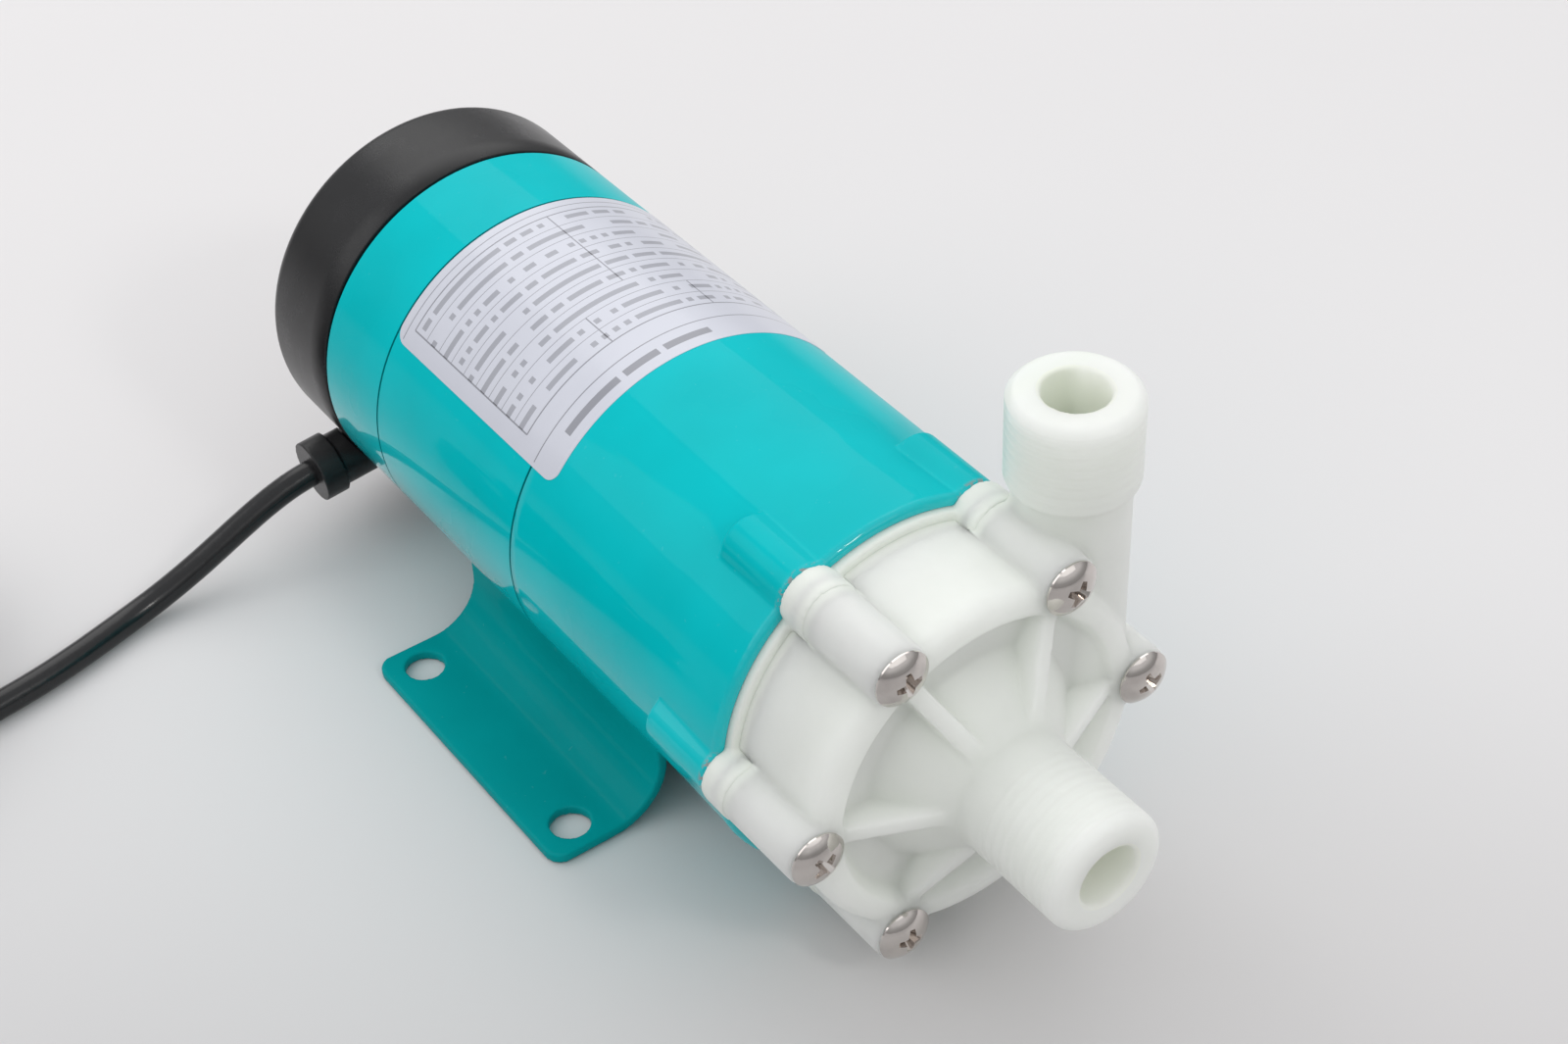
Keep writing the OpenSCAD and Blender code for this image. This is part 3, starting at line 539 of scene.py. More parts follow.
@finish
def ground_ceramic():
    f = Finish("ground_ceramic", specular_ior_level=0.6)
    tint = f.noise(2.0, 3)
    f.set(base_color=f.mix(tint, (0.78, 0.76, 0.70), (0.86, 0.85, 0.80)), roughness=tint * 0.1 + 0.14,
          normal=f.bump(f.noise(0.2, 2), 0.006))
    return f


@finish
def grey_moulding():
    f = Finish("grey_moulding")
    tint = f.noise(3.0, 3)
    f.set(base_color=f.mix(tint, (0.50, 0.50, 0.46), (0.58, 0.58, 0.54)), roughness=tint * 0.15 + 0.4,
          normal=f.bump(f.noise(0.3, 2), 0.03))
    return f


@finish
def tie_nylon():
    """Milky nylon band with fine teeth across it."""
    f = Finish("tie_nylon", subsurface_weight=0.2, subsurface_radius=(1, 1, 1), subsurface_scale=1 * MM)
    tint = f.noise(2.0, 2)
    f.set(base_color=f.mix(tint, (0.62, 0.62, 0.59), (0.72, 0.72, 0.70)), roughness=tint * 0.1 + 0.36,
          normal=f.bump(f.noise(0.4, 2), 0.03))
    return f


@finish
def sticker_film():
    """Pale film with a ruled table. The fields hold plain grey bars that say nothing."""
    f = Finish("sticker_film", specular_ior_level=0.5, coat_roughness=0.12)
    across, along, _ = f.axes(f.add("ShaderNodeTexCoord", out=2))
    u, v = along * 50.0, across * 64.0
    first, last, left, right, row_w = 10.6, 46.4, 3.4, 60.5, 4.0
    line, thin = 0.14, 0.12
    rows, columns = (u > first) * (u < last), (v > left) * (v < right)
    inside = rows * columns
    row = (u - first) * (1 / row_w)
    rules = row.part().near(0.0, line / row_w) * inside
    border = (u.near(first, line) + u.near(last, line)) * columns
    border = border + (v.near(left, line) + v.near(right, line)) * rows
    splits = (v.near(24.0, thin) + v.near(44.0, thin)) * (u > first) * (u < first + 2 * row_w)
    splits = splits + v.near(34.0, thin) * (u > first + 3 * row_w) * (u < last)
    heads = (u.near(6.2, thin) + u.near(48.2, 0.10)) * (v > 0.8) * (v < 63.2)
    ink = (rules + border + splits + heads).clamped()
    seed = f.add("ShaderNodeCombineXYZ", None, {0: (v * 0.9).whole(), 1: row.whole()})
    chance = f.add("ShaderNodeTexWhiteNoise", {"noise_dimensions": "2D"}, {"Vector": seed})
    bars = row.part().near(0.5, 0.15) * (chance > 0.36) * inside
    title = u.near(3.1, 0.8) * (v.near(14.0, 6.0) + v.near(24.6, 3.4) + v.near(33.6, 4.4))
    print_all = (ink * 0.62 + bars * 0.46 + title * 0.6).clamped()
    cloud = f.noise(8, 2)
    paper = f.mix(cloud, shade(colours().sticker, 0.97), shade(colours().sticker, 1.03))
    f.set(base_color=f.mix(print_all, paper, (0.06, 0.06, 0.075)), coat_weight=0.25 - print_all * 0.1,
          roughness=cloud * 0.08 + 0.30 - print_all * 0.04, normal=f.bump(f.noise(1.8, 2), 0.02))
    return f


SLOT_FINISH = {
    "painted_teal": motor_enamel, "foot_paint": foot_enamel, "pump_plastic": natural_plastic,
    "black_plastic": cover_plastic, "grey_plastic": grey_moulding, "seal_rubber": moulded_rubber,
    "lead_rubber": moulded_rubber, "stainless_screw": stainless, "plain_steel": ground_steel,
    "lamination_steel": laminations, "cast_aluminium": die_cast, "copper_wire": copper_winding,
    "magnet": sintered_magnet, "carbon": carbon_bush, "ceramic": ground_ceramic, "tie_plastic": tie_nylon,
    "pin_brass": pin_metal,
}


def at(points):
    """Points of the pump's frame in millimetres, as places in the part's frame in metres."""
    p = np.asarray(points, float)
    return np.stack([p[..., 0], p[..., 1] - FOOT_MID, p[..., 2] + AXIS_H], -1) * MM


def quads(rows, cols, wrap_rows=False, wrap_cols=True):
    """Faces of a grid of points, joined round where it wraps."""
    r = np.arange(rows if wrap_rows else rows - 1)[:, None]
    c = np.arange(cols if wrap_cols else cols - 1)[None, :]
    r1, c1 = (r + 1) % rows, (c + 1) % cols
    corners = [r * cols + c, r * cols + c1, r1 * cols + c1, r1 * cols + c]
    return np.stack([np.broadcast_to(k, np.broadcast(r, c).shape) for k in corners], -1).reshape(-1, 4)


def piece(name, points, faces, material, sharp=40):
    """A mesh object from places in metres, smooth up to an angle."""
    mesh = bpy.data.meshes.new(name)
    mesh.from_pydata(np.asarray(points).reshape(-1, 3).tolist(), [], [list(map(int, f)) for f in faces])
    return dressed(name, mesh, material, sharp)


def face_out(mesh):
    """Turns all faces of a closed mesh outwards."""
    bm = bmesh.new()
    bm.from_mesh(mesh)
    bmesh.ops.recalc_face_normals(bm, faces=bm.faces)
    bm.to_mesh(mesh)
    bm.free()


def placed(name, mesh):
    """An object in the scene for a mesh."""
    obj = bpy.data.objects.new(name, mesh)
    bpy.context.scene.collection.objects.link(obj)
    return obj


def dressed(name, mesh, material, sharp=40):
    """An object for a finished mesh on the fixed body: outward normals, shading and finish."""
    face_out(mesh)
    mesh.shade_smooth()
    mesh.set_sharp_from_angle(angle=math.radians(sharp))
    mesh.materials.clear()
    mesh.materials.append(material)
    obj = placed(name, mesh)
    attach(obj, "root")
    return obj


def turned(profile, cols=192):
    """A grid of points turned about z from pairs of radius and height."""
    a = np.linspace(0, math.tau, cols, endpoint=False)
    r, z = np.asarray(profile, float).T
    return np.stack([np.outer(r, np.cos(a)), np.outer(r, np.sin(a)), np.repeat(z[:, None], cols, 1)], -1)


def turned_mesh(profile, matrix, cols=192):
    """Points in metres and faces of a closed turned solid whose profile starts and ends on its axis."""
    inner = turned(profile[1:-1], cols).reshape(-1, 3)
    points = np.vstack([inner, [[0, 0, profile[0][1]], [0, 0, profile[-1][1]]]])
    rows, first, last = len(profile) - 2, len(inner), len(inner) + 1
    faces = [list(q) for q in quads(rows, cols)]
    for c in range(cols):
        d = (c + 1) % cols
        faces.append([first, d, c])
        faces.append([last, (rows - 1) * cols + c, (rows - 1) * cols + d])
    m = np.array(matrix, float)
    return points * MM @ m[:3, :3].T + m[:3, 3], faces


def along_y(place, forwards=False, turn=0.0):
    """Turns what stands along z so that it lies rearwards or forwards along y, at a place in metres."""
    lie = Matrix.Rotation(math.radians(90 if forwards else -90), 4, "X")
    return Matrix.Translation(place) @ lie @ Matrix.Rotation(math.radians(turn), 4, "Z")


def arc(centre, radius, start, end, steps=6):
    """Points of a rounded corner, with angles in degrees."""
    a = np.radians(np.linspace(start, end, steps + 1))
    return [(centre[0] + radius * math.cos(t), centre[1] + radius * math.sin(t)) for t in a]


def evaluated(obj):
    """The mesh of an object with its modifiers, while the object itself is taken away."""
    graph = bpy.context.evaluated_depsgraph_get()
    mesh = bpy.data.meshes.new_from_object(obj.evaluated_get(graph))
    old = obj.data
    bpy.data.objects.remove(obj)
    bpy.data.meshes.remove(old)
    return mesh


def welded_copy(node, extra=None):
    """A copy in millimetres of a CAD node and of an extra mesh in metres, with split corners joined."""
    mesh = bpy.data.meshes.new(node + "_copy")
    bm = bmesh.new()
    bm.from_mesh(frame["nodes"][node].data)
    if extra:
        bm.from_mesh(extra)
    bmesh.ops.transform(bm, matrix=Matrix.Scale(1 / MM, 4), verts=bm.verts)
    bmesh.ops.remove_doubles(bm, verts=bm.verts, dist=1e-4)
    bm.to_mesh(mesh)
    bm.free()
    return placed(node + "_copy", mesh)


def moulded(node, voxel, rounds, crisp_from=None, extra=None):
    """A CAD solid as one moulding in metres: meshed evenly, then smoothed until its corners have fillets.

    Corners rearwards of crisp_from, a distance in millimetres behind the rim, stay as they are.
    """
    obj = welded_copy(node, extra)
    even = obj.modifiers.new("even", "REMESH")
    even.mode, even.voxel_size = "VOXEL", voxel
    mesh = evaluated(obj)
    obj = placed(node + "_even", mesh)
    soft = obj.modifiers.new("soft", "SMOOTH")
    soft.factor, soft.iterations = 0.5, rounds
    if crisp_from is not None:
        group = obj.vertex_groups.new(name="soft")
        s = coordinates(mesh)[:, 1] + FOOT_MID
        for share in np.linspace(0.25, 1.0, 4):
            near = np.flatnonzero(np.ceil(np.clip((crisp_from - s) / 2, 0, 1) * 4) / 4 == share)
            group.add(near.tolist(), float(share), "REPLACE")
        soft.vertex_group = group.name
    mesh = evaluated(obj)
    mesh.transform(Matrix.Scale(MM, 4))
    return mesh


def coordinates(mesh):
    p = np.zeros(len(mesh.vertices) * 3, np.float32)
    mesh.vertices.foreach_get("co", p)
    return p.reshape(-1, 3).astype(float)


# The mains lead: its route, coil and plug, in millimetres in the part's frame.
GLAND_WAY = np.array([-math.cos(math.radians(6)), 0, -math.sin(math.radians(6))])
LEAD_EXIT = np.array([-36.07, 68.1, 15.85])
LEAD_ROUTE = [
    (-41, 68.15, 14.9), (-46, 68.15, 13.3), (-51, 68.1, 11.25), (-56, 68, 9.05), (-61, 68, 6.8),
    (-66, 67.95, 4.85), (-71, 67.7, 3.35), (-76, 66.95, 2.6), (-81, 65.6, 2.5), (-88, 63.65, 2.5),
    (-96, 61.85, 2.5), (-104, 60.6, 2.5), (-111, 59.7, 2.6), (-117.5, 59.1, 2.9), (-123.5, 58.75, 3.25),
    (-129, 58.55, 3.55),
]
COIL_MID = np.array([-134, 89.2])
COIL_PLACES = [(30.7, 3.7), (25.3, 3.7), (25.3, 9.0), (30.7, 9.0), (30.7, 14.3), (25.3, 14.3), (27.4, 19.6)]
COIL_STEP, COIL_CHANGE, COIL_END = 252.0, 108.0, 1723.9
PLUG_NECK = np.array([-159, 79.2, 23.3])
PLUG_LOOP = 25.0


def through(points, steps):
    """A smooth curve through points, with so many steps from each point to the next."""
    p = np.asarray(points, float)
    p = np.vstack([2 * p[0] - p[1], p, 2 * p[-1] - p[-2]])
    t = np.linspace(0, 1, steps, endpoint=False)[:, None]
    made = []
    for a, b, c, d in zip(p, p[1:], p[2:], p[3:]):
        square, cube = 2 * a - 5 * b + 4 * c - d, 3 * b - a - 3 * c + d
        made.append(0.5 * (2 * b + (c - a) * t + square * t**2 + cube * t**3))
    return np.vstack([*made, p[-2:-1]])


def coil_point(turn):
    """A point of the coil. The turn is in degrees from where the lead enters, clockwise seen from above."""
    done = turn / COIL_STEP - 1
    k = int(max(0, min(len(COIL_PLACES) - 2, math.floor(done))))
    t = max(0.0, min(1.0, (done - k) * COIL_STEP / COIL_CHANGE))
    t = t * t * (3 - 2 * t)
    r, z = (1 - t) * np.array(COIL_PLACES[k]) + t * np.array(COIL_PLACES[k + 1])
    a = math.radians(270 - turn)
    return np.array([COIL_MID[0] + r * math.cos(a), COIL_MID[1] + r * math.sin(a), z])


def lead_line():
    """The whole centreline of the lead, from inside the gland to inside the neck of the plug."""
    start = [LEAD_EXIT - 7 * GLAND_WAY, LEAD_EXIT]
    coil = [coil_point(t) for t in np.append(np.arange(0, COIL_END, 6.0), COIL_END)]
    first = through([*start, *LEAD_ROUTE, coil[0]], 6)[:-1]
    turn = math.radians(COIL_END - 270)
    middle = PLUG_NECK[:2] + (PLUG_LOOP, 0)
    a = np.linspace(-turn % math.tau, math.pi, 30)
    plan = np.vstack([coil[-1][:2], middle + PLUG_LOOP * np.c_[np.cos(a), np.sin(a)]])
    way = np.append(0, np.cumsum(np.linalg.norm(np.diff(plan, axis=0), axis=1)))
    t = way / way[-1]
    tail = np.c_[plan, coil[-1][2] + (PLUG_NECK[2] - coil[-1][2]) * t * t * (3 - 2 * t)][1:]
    return np.vstack([first, coil, tail, [PLUG_NECK + (0, 4, 0)]])


class PUMP_OT_stage(bpy.types.Operator):
    """Lays the floor, hangs the lamps and sets the camera"""

    bl_idname = "pump.stage"
    bl_label = "Stage"

    def execute(self, context):
        scene, stage = context.scene, context.scene.pump_stage
        scene.view_settings.view_transform = "Standard"
        self.camera(scene, stage)
        self.floor()
        self.lamps(scene, stage)
        self.sky(scene, stage)
        return {"FINISHED"}

    def camera(self, scene, stage):
        right, up = Vector(stage.camera_right).normalized(), Vector(stage.camera_up).normalized()
        back = right.cross(up).normalized()
        data = bpy.data.cameras.new("camera")
        data.sensor_width, data.lens = 36.0, stage.lens
        data.clip_start, data.clip_end = 0.01, 50.0
        camera = bpy.data.objects.new("camera", data)
        turn = Matrix((right, back.cross(right), back)).transposed()
        camera.matrix_world = Matrix.Translation(stage.camera_place) @ turn.to_4x4()
        scene.collection.objects.link(camera)
        scene.camera = camera

    def floor(self):
        f = Finish("floor_card", roughness=0.85, specular_ior_level=0.1)
        x, y, _ = f.axes()
        # Painted shade: the floor is painted darker towards the camera, down to 0.66 of its colour, standing
        # in for light that falls off in front of the pump.
        painted_falloff = (x * 0.61 + y * 0.79).between(-0.20, 0.03)
        tone = f.mix(f.noise(120, 2), shade(colours().floor, 0.985), shade(colours().floor, 1.01))
        f.set(base_color=f.mix(painted_falloff, shade(colours().floor, 0.66), tone))
        half, top = 4.0, -0.0002
        mesh = bpy.data.meshes.new("floor")
        mesh.from_pydata([(-half, -half, top), (half, -half, top), (half, half, top), (-half, half, top)], [],
                         [(0, 1, 2, 3)])
        mesh.materials.append(f.material)
        placed("floor", mesh)

    def lamps(self, scene, stage):
        warm, soft, mild = (1.0, 0.98, 0.95), (1.0, 0.99, 0.97), (1.0, 0.99, 0.98)
        plan = [
            ("overhead_lamp", stage.overhead, (1.1, 0.9), (0.35, 0.68, 0.90), (0, 0.04, 0.05), soft),
            ("front_lamp", stage.front, (1.2, 0.5), (0.15, -1.15, 0.85), (0, -0.06, 0.06), mild),
            ("left_lamp", stage.left, (1.0, 0.8), (-0.85, 0.40, 0.80), (0, 0.02, 0.02), mild),
            ("highlight_lamp", stage.highlight, (0.16, 0.16), (0.16, -0.90, 0.80), (0, -0.07, 0.05), warm),
        ]
        for name, power, size, place, target, colour in plan:
            data = bpy.data.lights.new(name, "AREA")
            data.shape, data.size, data.size_y = "RECTANGLE", size[0], size[1]
            data.energy, data.color = power, colour
            lamp = bpy.data.objects.new(name, data)
            lamp.location = place
            lamp.rotation_euler = (Vector(target) - Vector(place)).to_track_quat("-Z", "Y").to_euler()
            scene.collection.objects.link(lamp)

    def sky(self, scene, stage):
        world = bpy.data.worlds.new("studio")
        world.use_nodes = True
        nodes = Nodes(world.node_tree)
        height = nodes.add("ShaderNodeSeparateXYZ", None, {0: nodes.add("ShaderNodeTexCoord", out=0)}, out=2)
        stops = [(0.0, (0.37, 0.365, 0.365)), (0.14, (0.43, 0.43, 0.43)), (0.32, (0.79, 0.79, 0.80)),
                 (1.0, (1.0, 1.01, 1.03))]
        tone = nodes.add("ShaderNodeValToRGB", {"stops": stops}, {0: height})
        light = nodes.add("ShaderNodeBackground", None, {"Color": tone, "Strength": stage.sky})
        output = nodes.tree.nodes.new("ShaderNodeOutputWorld")
        nodes.join(output.inputs["Surface"], light)
        scene.world = world


class PUMP_OT_lead(bpy.types.Operator):
    """Lays the mains lead with its coil, tie and plug"""

    bl_idname = "pump.lead"
    bl_label = "Mains lead"

    def execute(self, context):
        line = lead_line()
        data = bpy.data.curves.new("mains_lead", "CURVE")
        data.dimensions, data.bevel_depth, data.bevel_resolution = "3D", sizes().lead_diameter / 2, 5
        data.use_fill_caps = True
        spline = data.splines.new("POLY")
        spline.points.add(len(line) - 1)
        spline.points.foreach_set("co", np.c_[line * MM, np.ones(len(line))].ravel())
        spline.use_smooth = True
        data.materials.append(lead_sheath())
        lead = bpy.data.objects.new("mains_lead", data)
        context.scene.collection.objects.link(lead)
        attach(lead, "root")
        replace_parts(lead, "power_cord", "cord_coil")
        plug, pins, tie = self.plug(), self.pins(), self.tie()
        return {"FINISHED"}

    def plug(self):
        """A moulded plug: soft sections lofted along y, with grip grooves and a ringed neck."""
        sections = [(0.0, 3.7, 3.7, 2.0), (0.6, 4.1, 4.1, 2.0)]
        for k in range(4):
            y, ring, groove = 1.6 + 2.6 * k, (0.25 * k, 0.2 * k), (3.8 + 0.3 * k, 3.8 + 0.25 * k)
            sections += [(y, 4.4 + ring[0], 4.4 + ring[1], 2.0), (y + 1.5, 4.5 + ring[0], 4.5 + ring[1], 2.0)]
            sections += [(y + 1.8, *groove, 2.0), (y + 2.4, *groove, 2.0)]
        sections += [(12.6, 6.0, 5.2, 2.3), (14.5, 7.8, 5.7, 2.8), (17.5, 9.6, 6.2, 3.2)]
        for k in range(5):
            y, w = 19.5 + 2.8 * k, 10.4 + 0.22 * k
            sections += [(y, w, 6.4, 3.6), (y + 1.6, w + 0.1, 6.4, 3.6)]
            sections += [(y + 1.8, w - 0.5, 6.1, 3.6), (y + 2.5, w - 0.5, 6.1, 3.6)]
        sections += [(34.0, 11.9, 6.45, 4.0), (40.4, 12.0, 6.45, 4.0)]
        sections += [(41.4, 11.7, 6.2, 4.0), (42.0, 10.9, 5.5, 4.0)]
        cols, rows = 96, []
        a = np.linspace(0, math.tau, cols, endpoint=False)
        for y, w, t, power in sections:
            c, s = np.cos(a), np.sin(a)
            x = w * np.sign(c) * np.abs(c) ** (2 / power)
            z = t * np.sign(s) * np.abs(s) ** (2 / power)
            rows.append(np.stack([PLUG_NECK[0] + x, np.full_like(x, PLUG_NECK[1] + y), PLUG_NECK[2] + z], -1))
        last = (len(rows) - 1) * cols
        faces = [*quads(len(rows), cols), range(cols), range(last, last + cols)]
        obj = piece("moulded_plug", np.array(rows) * MM, faces, moulded_rubber(), sharp=50)
        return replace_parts(obj, "mains_plug")

    def pins(self):
        """Two round pins with rounded tips, where the solid pins are."""
        points, faces = [], []
        low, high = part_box("plug_pins")
        radius, length, tip = (high.z - low.z) / 2 / MM, (high.y - low.y) / MM, 1.6
        rounded = arc((radius - tip, length - tip), tip, 0, 80)
        profile = [(0, 0), (radius, 0), (radius, length - tip), *rounded, (0, length)]
        for x in (low.x + radius * MM, high.x - radius * MM):
            p, f = turned_mesh(profile, along_y((x, low.y, (low.z + high.z) / 2)), 48)
            faces += [[i + sum(map(len, points)) for i in q] for q in f]
            points.append(p)
        obj = piece("plug_pin_pair", np.vstack(points), faces, pin_metal())
        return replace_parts(obj, "plug_pins")

    def tie(self):
        obj = dressed("coil_tie", moulded("cord_tie", voxel=0.2, rounds=3), tie_nylon())
        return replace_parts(obj, "cord_tie")


def screw_place(angle, s):
    """A place on the circle of the casing screws."""
    return np.array([SCREW_CIRCLE * math.cos(angle), s, SCREW_CIRCLE * math.sin(angle)])


class PUMP_OT_head(bpy.types.Operator):
    """Moulds the two casings of the pump head"""

    bl_idname = "pump.head"
    bl_label = "Pump head"

    def execute(self, context):
        voxel, rounds = sizes().mould_voxel / MM, sizes().mould_rounds
        casings = {"front_casing": moulded("front_casing", voxel, rounds, crisp_from=-5.0),
                   "rear_casing": moulded("rear_casing", voxel, rounds // 5, extra=self.joint_rings())}
        for node, mesh in casings.items():
            obj = dressed(node + "_moulding", mesh, natural_plastic(), sharp=180)
            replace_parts(obj, node)
        return {"FINISHED"}

    def joint_rings(self):
        """Rings that close the joint of the casings: one on the flange, and one at the root of each lug."""

        def ring(inner, outer, start, end):
            return turned([(inner, start), (outer, start), (outer, end), (inner, end)])[..., [0, 2, 1]]

        lug, flange = ring(2.4, 5.3, -5.7, -0.6), ring(30.3, 32.1, -1.6, 0.5)
        rings = [lug + screw_place(a, 0) for a in SCREW_ANGLES] + [flange]
        one = quads(*flange.shape[:2], wrap_rows=True)
        faces = np.vstack([one + k * flange[..., 0].size for k in range(len(rings))])
        mesh = bpy.data.meshes.new("joint_rings")
        mesh.from_pydata(at(np.array(rings)).reshape(-1, 3).tolist(), [], faces.tolist())
        return mesh


class PUMP_OT_screws(bpy.types.Operator):
    """Makes the cross recessed screws of casing and cover"""

    bl_idname = "pump.screws"
    bl_label = "Screws"

    def execute(self, context):
        seat, turns = -22.2, [17, 62, 5, 38, 80, 51]
        places = [along_y(at(screw_place(a, seat)), True, turn) for a, turn in zip(SCREW_ANGLES, turns)]
        screw = self.screw(width=9.4, height=2.5, length=30.0, shank=4.0)
        self.set("casing_screw_set", "casing_screws", screw, places)
        head, circle, places = 1.8, 24.6, []
        for a in (150, 330):
            x, h = circle * math.cos(math.radians(a)), circle * math.sin(math.radians(a))
            places.append(along_y(at((x, reach("cover_screws")[1] - head, h)), turn=a + 20))
        screw = self.screw(width=6.0, height=head, length=10.0, shank=3.0)
        self.set("cover_screw_set", "cover_screws", screw, places)
        return {"FINISHED"}

    def screw(self, width, height, length, shank):
        """Points and faces of one screw: a domed head with its seat at z 0, and a shank below it."""
        edge = 0.22 * height
        rise = height - edge
        dome = (width * width / 4 + rise * rise) / (2 * rise)
        top = [(dome * math.sin(t), height - dome + dome * math.cos(t))
               for t in np.linspace(math.asin(width / 2 / dome), 0.0, 10)[:-1]]
        profile = [(0, -length), (shank / 2 - 0.5, -length), (shank / 2, -length + 0.6), (shank / 2, -0.3),
                   (width / 2 - 0.3, 0.0), (width / 2, 0.25), *top, (0, height)]
        points, faces = turned_mesh(profile, Matrix.Identity(4), 64)
        head = bpy.data.meshes.new("screw_head")
        head.from_pydata((points / MM).tolist(), [], faces)
        face_out(head)
        cutter = self.recess(width, height)
        body = placed("screw_head", head)
        cut = body.modifiers.new("recess", "BOOLEAN")
        cut.object, cut.operation, cut.solver = cutter, "DIFFERENCE", "EXACT"
        made = evaluated(body)
        old = cutter.data
        bpy.data.objects.remove(cutter)
        bpy.data.meshes.remove(old)
        return coordinates(made), [list(f.vertices) for f in made.polygons]

    def recess(self, width, height):
        """A tapered cross that is cut into a head."""
        arm, half = 0.26 * width, 0.055 * width
        quarter = [(arm, -half), (arm, half), (half * 1.5, half * 1.5)]
        turns = [(1, 0), (0, 1), (-1, 0), (0, -1)]
        cross = [(c * x - s * y, s * x + c * y) for c, s in turns for x, y in quarter]
        ends = [(1.12, height + 0.4), (0.50, height * 0.22)]
        points = [(x * k, y * k, z) for k, z in ends for x, y in cross]
        n = len(cross)
        faces = [list(range(n))[::-1], list(range(n, 2 * n))]
        faces += [[i, (i + 1) % n, n + (i + 1) % n, n + i] for i in range(n)]
        mesh = bpy.data.meshes.new("recess")
        mesh.from_pydata(points, [], faces)
        face_out(mesh)
        return placed("recess", mesh)

    def set(self, name, node, screw, places):
        points, faces = screw
        all_points, all_faces = [], []
        for k, m in enumerate(places):
            m = np.array(m, float)
            all_points.append(points * MM @ m[:3, :3].T + m[:3, 3])
            all_faces += [[i + k * len(points) for i in f] for f in faces]
        obj = piece(name, np.vstack(all_points), all_faces, stainless(), sharp=35)
        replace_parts(obj, node)


def bracket_radius(angle, s, fillet):
    """Outside radius of the bracket: the drafted body with the flat-ended screw bumps blended on."""
    rim, draft, bump, bump_l, edge, root = 33.9, 20.0, 4.9, 16.0, 1.1, 0.7
    base = BODY_R + (rim - BODY_R) * np.clip(1 - s / draft, 0, 1)
    off = (angle + math.pi / 6) % (math.pi / 3) - math.pi / 6
    over = np.clip(s - bump_l + edge, 0, edge)
    left = (bump - edge + np.sqrt(edge**2 - over**2)) ** 2 - (SCREW_CIRCLE * np.sin(off)) ** 2
    top = SCREW_CIRCLE * np.cos(off) + np.sqrt(np.maximum(left, 0)) - 0.4 * np.sqrt(np.maximum(-left, 0))
    foot = base + root - np.sqrt(np.maximum(root**2 - np.clip(bump_l + root - s, 0, root) ** 2, 0))
    top = np.where(s > bump_l, np.minimum(top, foot), top)
    soft = np.where(s > bump_l, 0.05, fillet)
    h = np.clip(0.5 + 0.5 * (top - base) / soft, 0, 1)
    return base + (top - base) * h + soft * h * (1 - h)


class PUMP_OT_motor(bpy.types.Operator):
    """Makes the motor's bracket with its blended screw bumps, the foot and the rear cover"""

    bl_idname = "pump.motor"
    bl_label = "Bracket, foot and cover"

    def execute(self, context):
        self.bracket()
        mesh = moulded("foot", voxel=0.35, rounds=5)
        obj = dressed("pressed_foot", mesh, foot_enamel(), sharp=180)
        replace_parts(obj, "foot")
        self.cover()
        return {"FINISHED"}

    def bracket(self):
        """The bracket as one closed skin: rows of points from its pocket over the outside and back inside."""
        fillet, cols = sizes().bump_fillet / MM, 720
        a = np.linspace(0, math.tau, cols, endpoint=False)
        lumps = sum(np.sin(k * a + p) for k, p in ((37, 0.4), (61, 2.1), (89, 4.0), (131, 1.2))) / 4
        rows = []

        def outside(s):
            return bracket_radius(a, np.full(cols, s), fillet)

        def row(s, radius):
            r = np.broadcast_to(radius, cols) + 0.06 * lumps * max(0.0, 1 - abs(s - 0.6) / 0.6)
            rows.append(np.stack([r * np.cos(a), np.full(cols, s), r * np.sin(a)], -1))

        edge, seam, gap, pocket = 1.2, FRAME_FROM, 0.2, 32.3
        for r, s in ((pocket - 0.15, 4.0), (pocket - 0.15, 0.1), (pocket, 0.02)):
            row(s, r)
        for share in (0.08, 0.5, 0.92, 1.0):
            row(0.0, pocket + (outside(0.0) - edge - pocket) * share)
        for t in np.radians(np.linspace(12, 90, 8)):
            row(edge - edge * math.cos(t), outside(0.0) - edge + edge * math.sin(t))
        bumps, bump_ends = np.arange(1.6, 14.4, 0.8), np.arange(14.6, 17.2, 0.12)
        barrel = np.arange(17.5, 58.5, 2.5)
        for s in [*bumps, *bump_ends, *barrel, seam - gap]:
            row(s, outside(s))
        row(seam, outside(seam) - gap)
        for r, s in ((32.6, seam), (30.2, seam), (30.2, 52), (15, 52), (15, 45), (29.8, 45), (29.8, 4.0)):
            row(s, r)
        faces = quads(len(rows), cols, wrap_rows=True)
        obj = piece("bracket_casting", at(np.array(rows)), faces, bracket_enamel(), sharp=50)
        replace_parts(obj, "motor_bracket")

    def cover(self):
        """The rear cover: a shell with a groove in front, a soft rear edge and a shallow panel in its end."""
        start, end, radius, inside, groove, soft, panel = COVER_FROM, COVER_TO, BODY_R, 30.4, 1.0, 3.0, 0.55
        profile = [(0, start + 4), (inside, start + 4), (inside, start),
                   (radius - groove, start), (radius - groove, start + 0.7),
                   (radius - 0.15, start + 0.75), (radius, start + 0.9), (radius, start + 6),
                   (radius, end - 9), *arc((radius - soft, end - soft), soft, 0, 90, 10),
                   (27.4, end), (27.0, end - 0.15), (26.4, end - 0.5), (26.0, end - panel), (12, end - panel),
                   (0, end - panel)]
        points, faces = turned_mesh(profile, along_y(at((0, 0, 0))), 256)
        obj = piece("rear_cover_shell", points, faces, cover_plastic(), sharp=45)
        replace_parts(obj, "rear_cover")


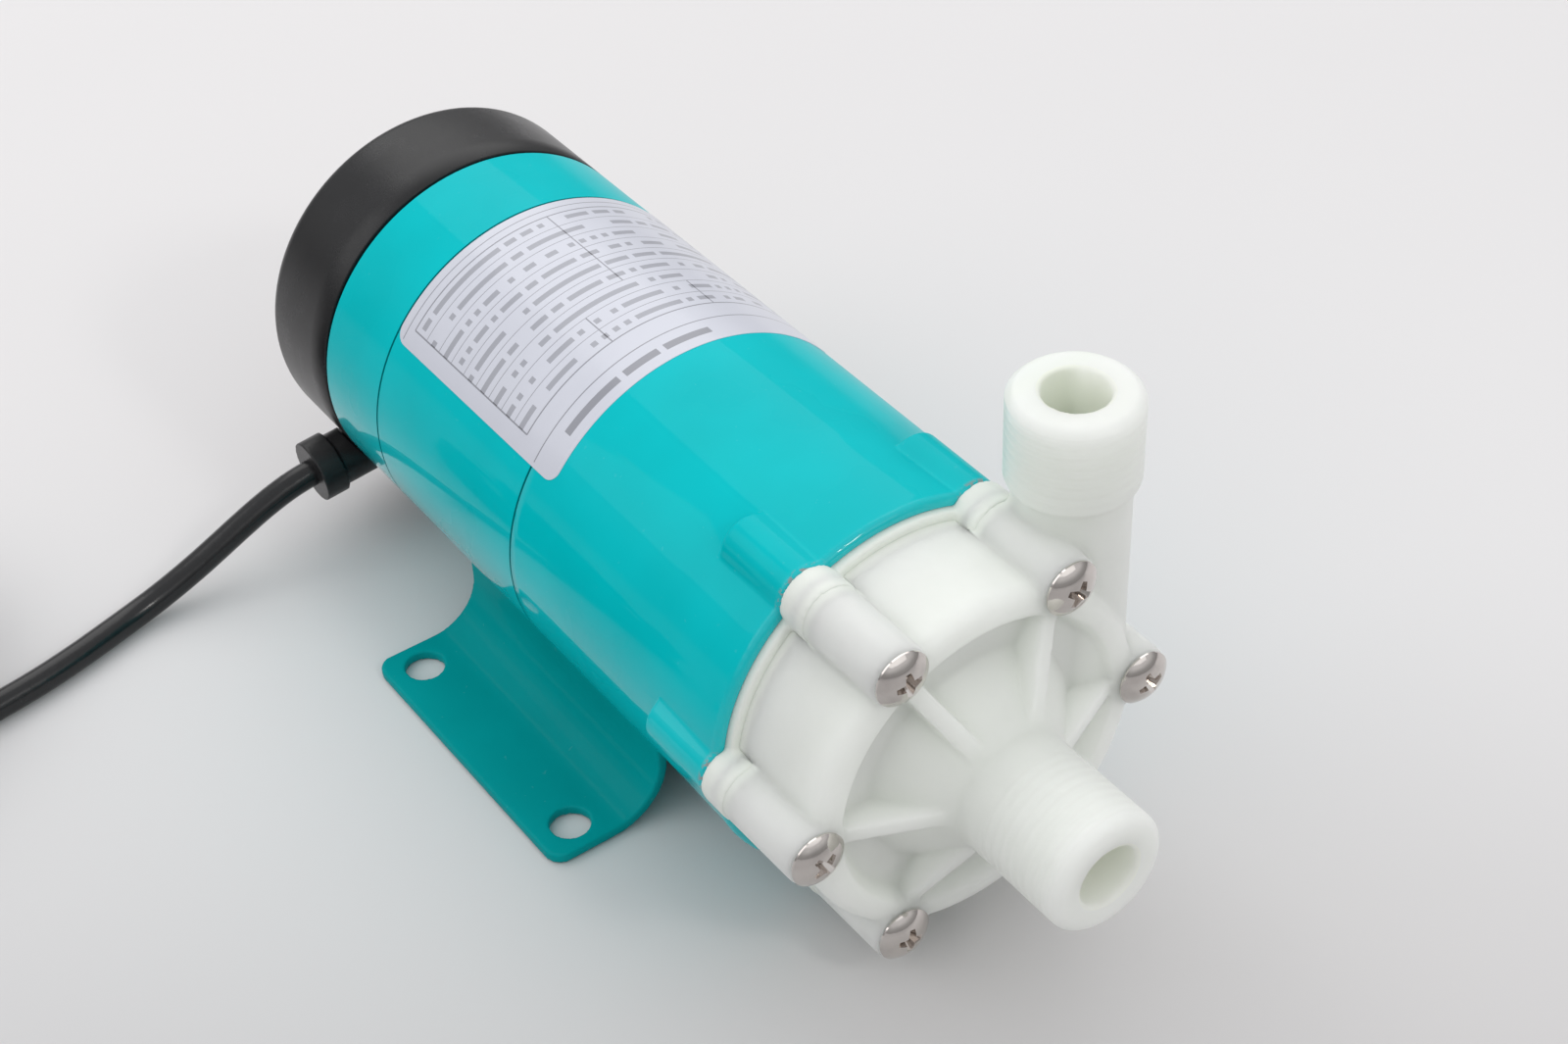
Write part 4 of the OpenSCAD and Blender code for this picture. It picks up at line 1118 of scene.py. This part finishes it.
class PUMP_OT_sticker(bpy.types.Operator):
    """Lays the plain ruled sticker on the motor"""

    bl_idname = "pump.sticker"
    bl_label = "Sticker"

    def execute(self, context):
        start, length, corner, skin, cols = 53.0, sizes().sticker_length / MM, 2.6, 0.09, 121
        low, high = sizes().sticker_to, sizes().sticker_from
        edge = corner * (1 - np.cos(np.linspace(0, math.pi / 2, 9)))
        along = np.concatenate([edge, np.linspace(corner, length - corner, 28)[1:-1], length - edge[::-1]])
        inside = np.maximum(corner - np.minimum(along, length - along), 0)
        inset = corner - np.sqrt(np.maximum(corner**2 - inside**2, 0))
        rows, marks = [], []
        for s, cut in zip(along, inset):
            a = np.linspace(high - cut / BODY_R, low + cut / BODY_R, cols)
            rows.append(np.stack([np.cos(a), np.full(cols, start + s), np.sin(a)], -1))
            marks += [((high - t) / (high - low), s / length) for t in a]
        n, flat = len(rows), np.vstack(rows)
        ring = [*range(cols), *range(2 * cols - 1, n * cols, cols)]
        ring += [*range(n * cols - 2, (n - 1) * cols - 1, -1), *range((n - 2) * cols, 0, -cols)]
        outer, inner, first = BODY_R + skin, BODY_R - 0.02, len(flat)
        points = np.vstack([flat * (outer, 1, outer), flat[ring] * (inner, 1, inner)])
        faces = quads(n, cols, wrap_cols=False).tolist()
        for i, this in enumerate(ring):
            j = (i + 1) % len(ring)
            faces.append([this, ring[j], first + j, first + i])
        obj = piece("sticker", at(points), faces, sticker_film(), sharp=60)
        layer = obj.data.uv_layers.new(name="place")
        marks = np.array(marks + [marks[i] for i in ring], np.float32)
        index = np.zeros(len(obj.data.loops), np.int32)
        obj.data.loops.foreach_get("vertex_index", index)
        layer.data.foreach_set("uv", marks[index].ravel())
        return {"FINISHED"}


class PUMP_OT_gland(bpy.types.Operator):
    """Moulds the cable gland"""

    bl_idname = "pump.gland"
    bl_label = "Cable gland"

    def execute(self, context):
        mesh = moulded("cable_gland", voxel=0.18, rounds=4)
        obj = dressed("lead_gland", mesh, moulded_rubber(), sharp=180)
        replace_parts(obj, "cable_gland")
        return {"FINISHED"}


class PUMP_OT_solids(bpy.types.Operator):
    """Gives every solid that still shows the finish of its material slot"""

    bl_idname = "pump.solids"
    bl_label = "Other solids"

    def execute(self, context):
        slots = {row["node"]: row["material_slot"] for row in frame["record"]["subparts"]}
        for name, node in frame["nodes"].items():
            if not node.hide_render:
                node.data.materials.clear()
                node.data.materials.append(SLOT_FINISH[slots[name]]())
        return {"FINISHED"}


STEPS = [PUMP_OT_stage, PUMP_OT_lead, PUMP_OT_gland, PUMP_OT_head, PUMP_OT_screws, PUMP_OT_motor,
         PUMP_OT_sticker, PUMP_OT_solids]


class PUMP_PT_panel(bpy.types.Panel):
    """Sizes, colours and steps of the pump"""

    bl_idname = "PUMP_PT_panel"
    bl_label = "Magnetic drive pump"
    bl_space_type = "VIEW_3D"
    bl_region_type = "UI"
    bl_category = "Pump"

    def draw(self, context):
        for group in (context.scene.pump_sizes, context.scene.pump_colours, context.scene.pump_stage):
            box = self.layout.box()
            for name in group.__annotations__:
                box.prop(group, name)
        for step in STEPS:
            self.layout.operator(step.bl_idname)


GROUPS = {"pump_sizes": PumpSizes, "pump_colours": PumpColours, "pump_stage": PumpStage}


def register():
    for made in (*GROUPS.values(), *STEPS, PUMP_PT_panel):
        bpy.utils.register_class(made)
    for name, group in GROUPS.items():
        setattr(bpy.types.Scene, name, bpy.props.PointerProperty(type=group))


def unregister():
    for name in GROUPS:
        delattr(bpy.types.Scene, name)
    for made in reversed((*GROUPS.values(), *STEPS, PUMP_PT_panel)):
        bpy.utils.unregister_class(made)


def main():
    register()
    for step in STEPS:
        getattr(bpy.ops.pump, step.bl_idname.split(".")[1])()


if __name__ == "__main__":
    main()
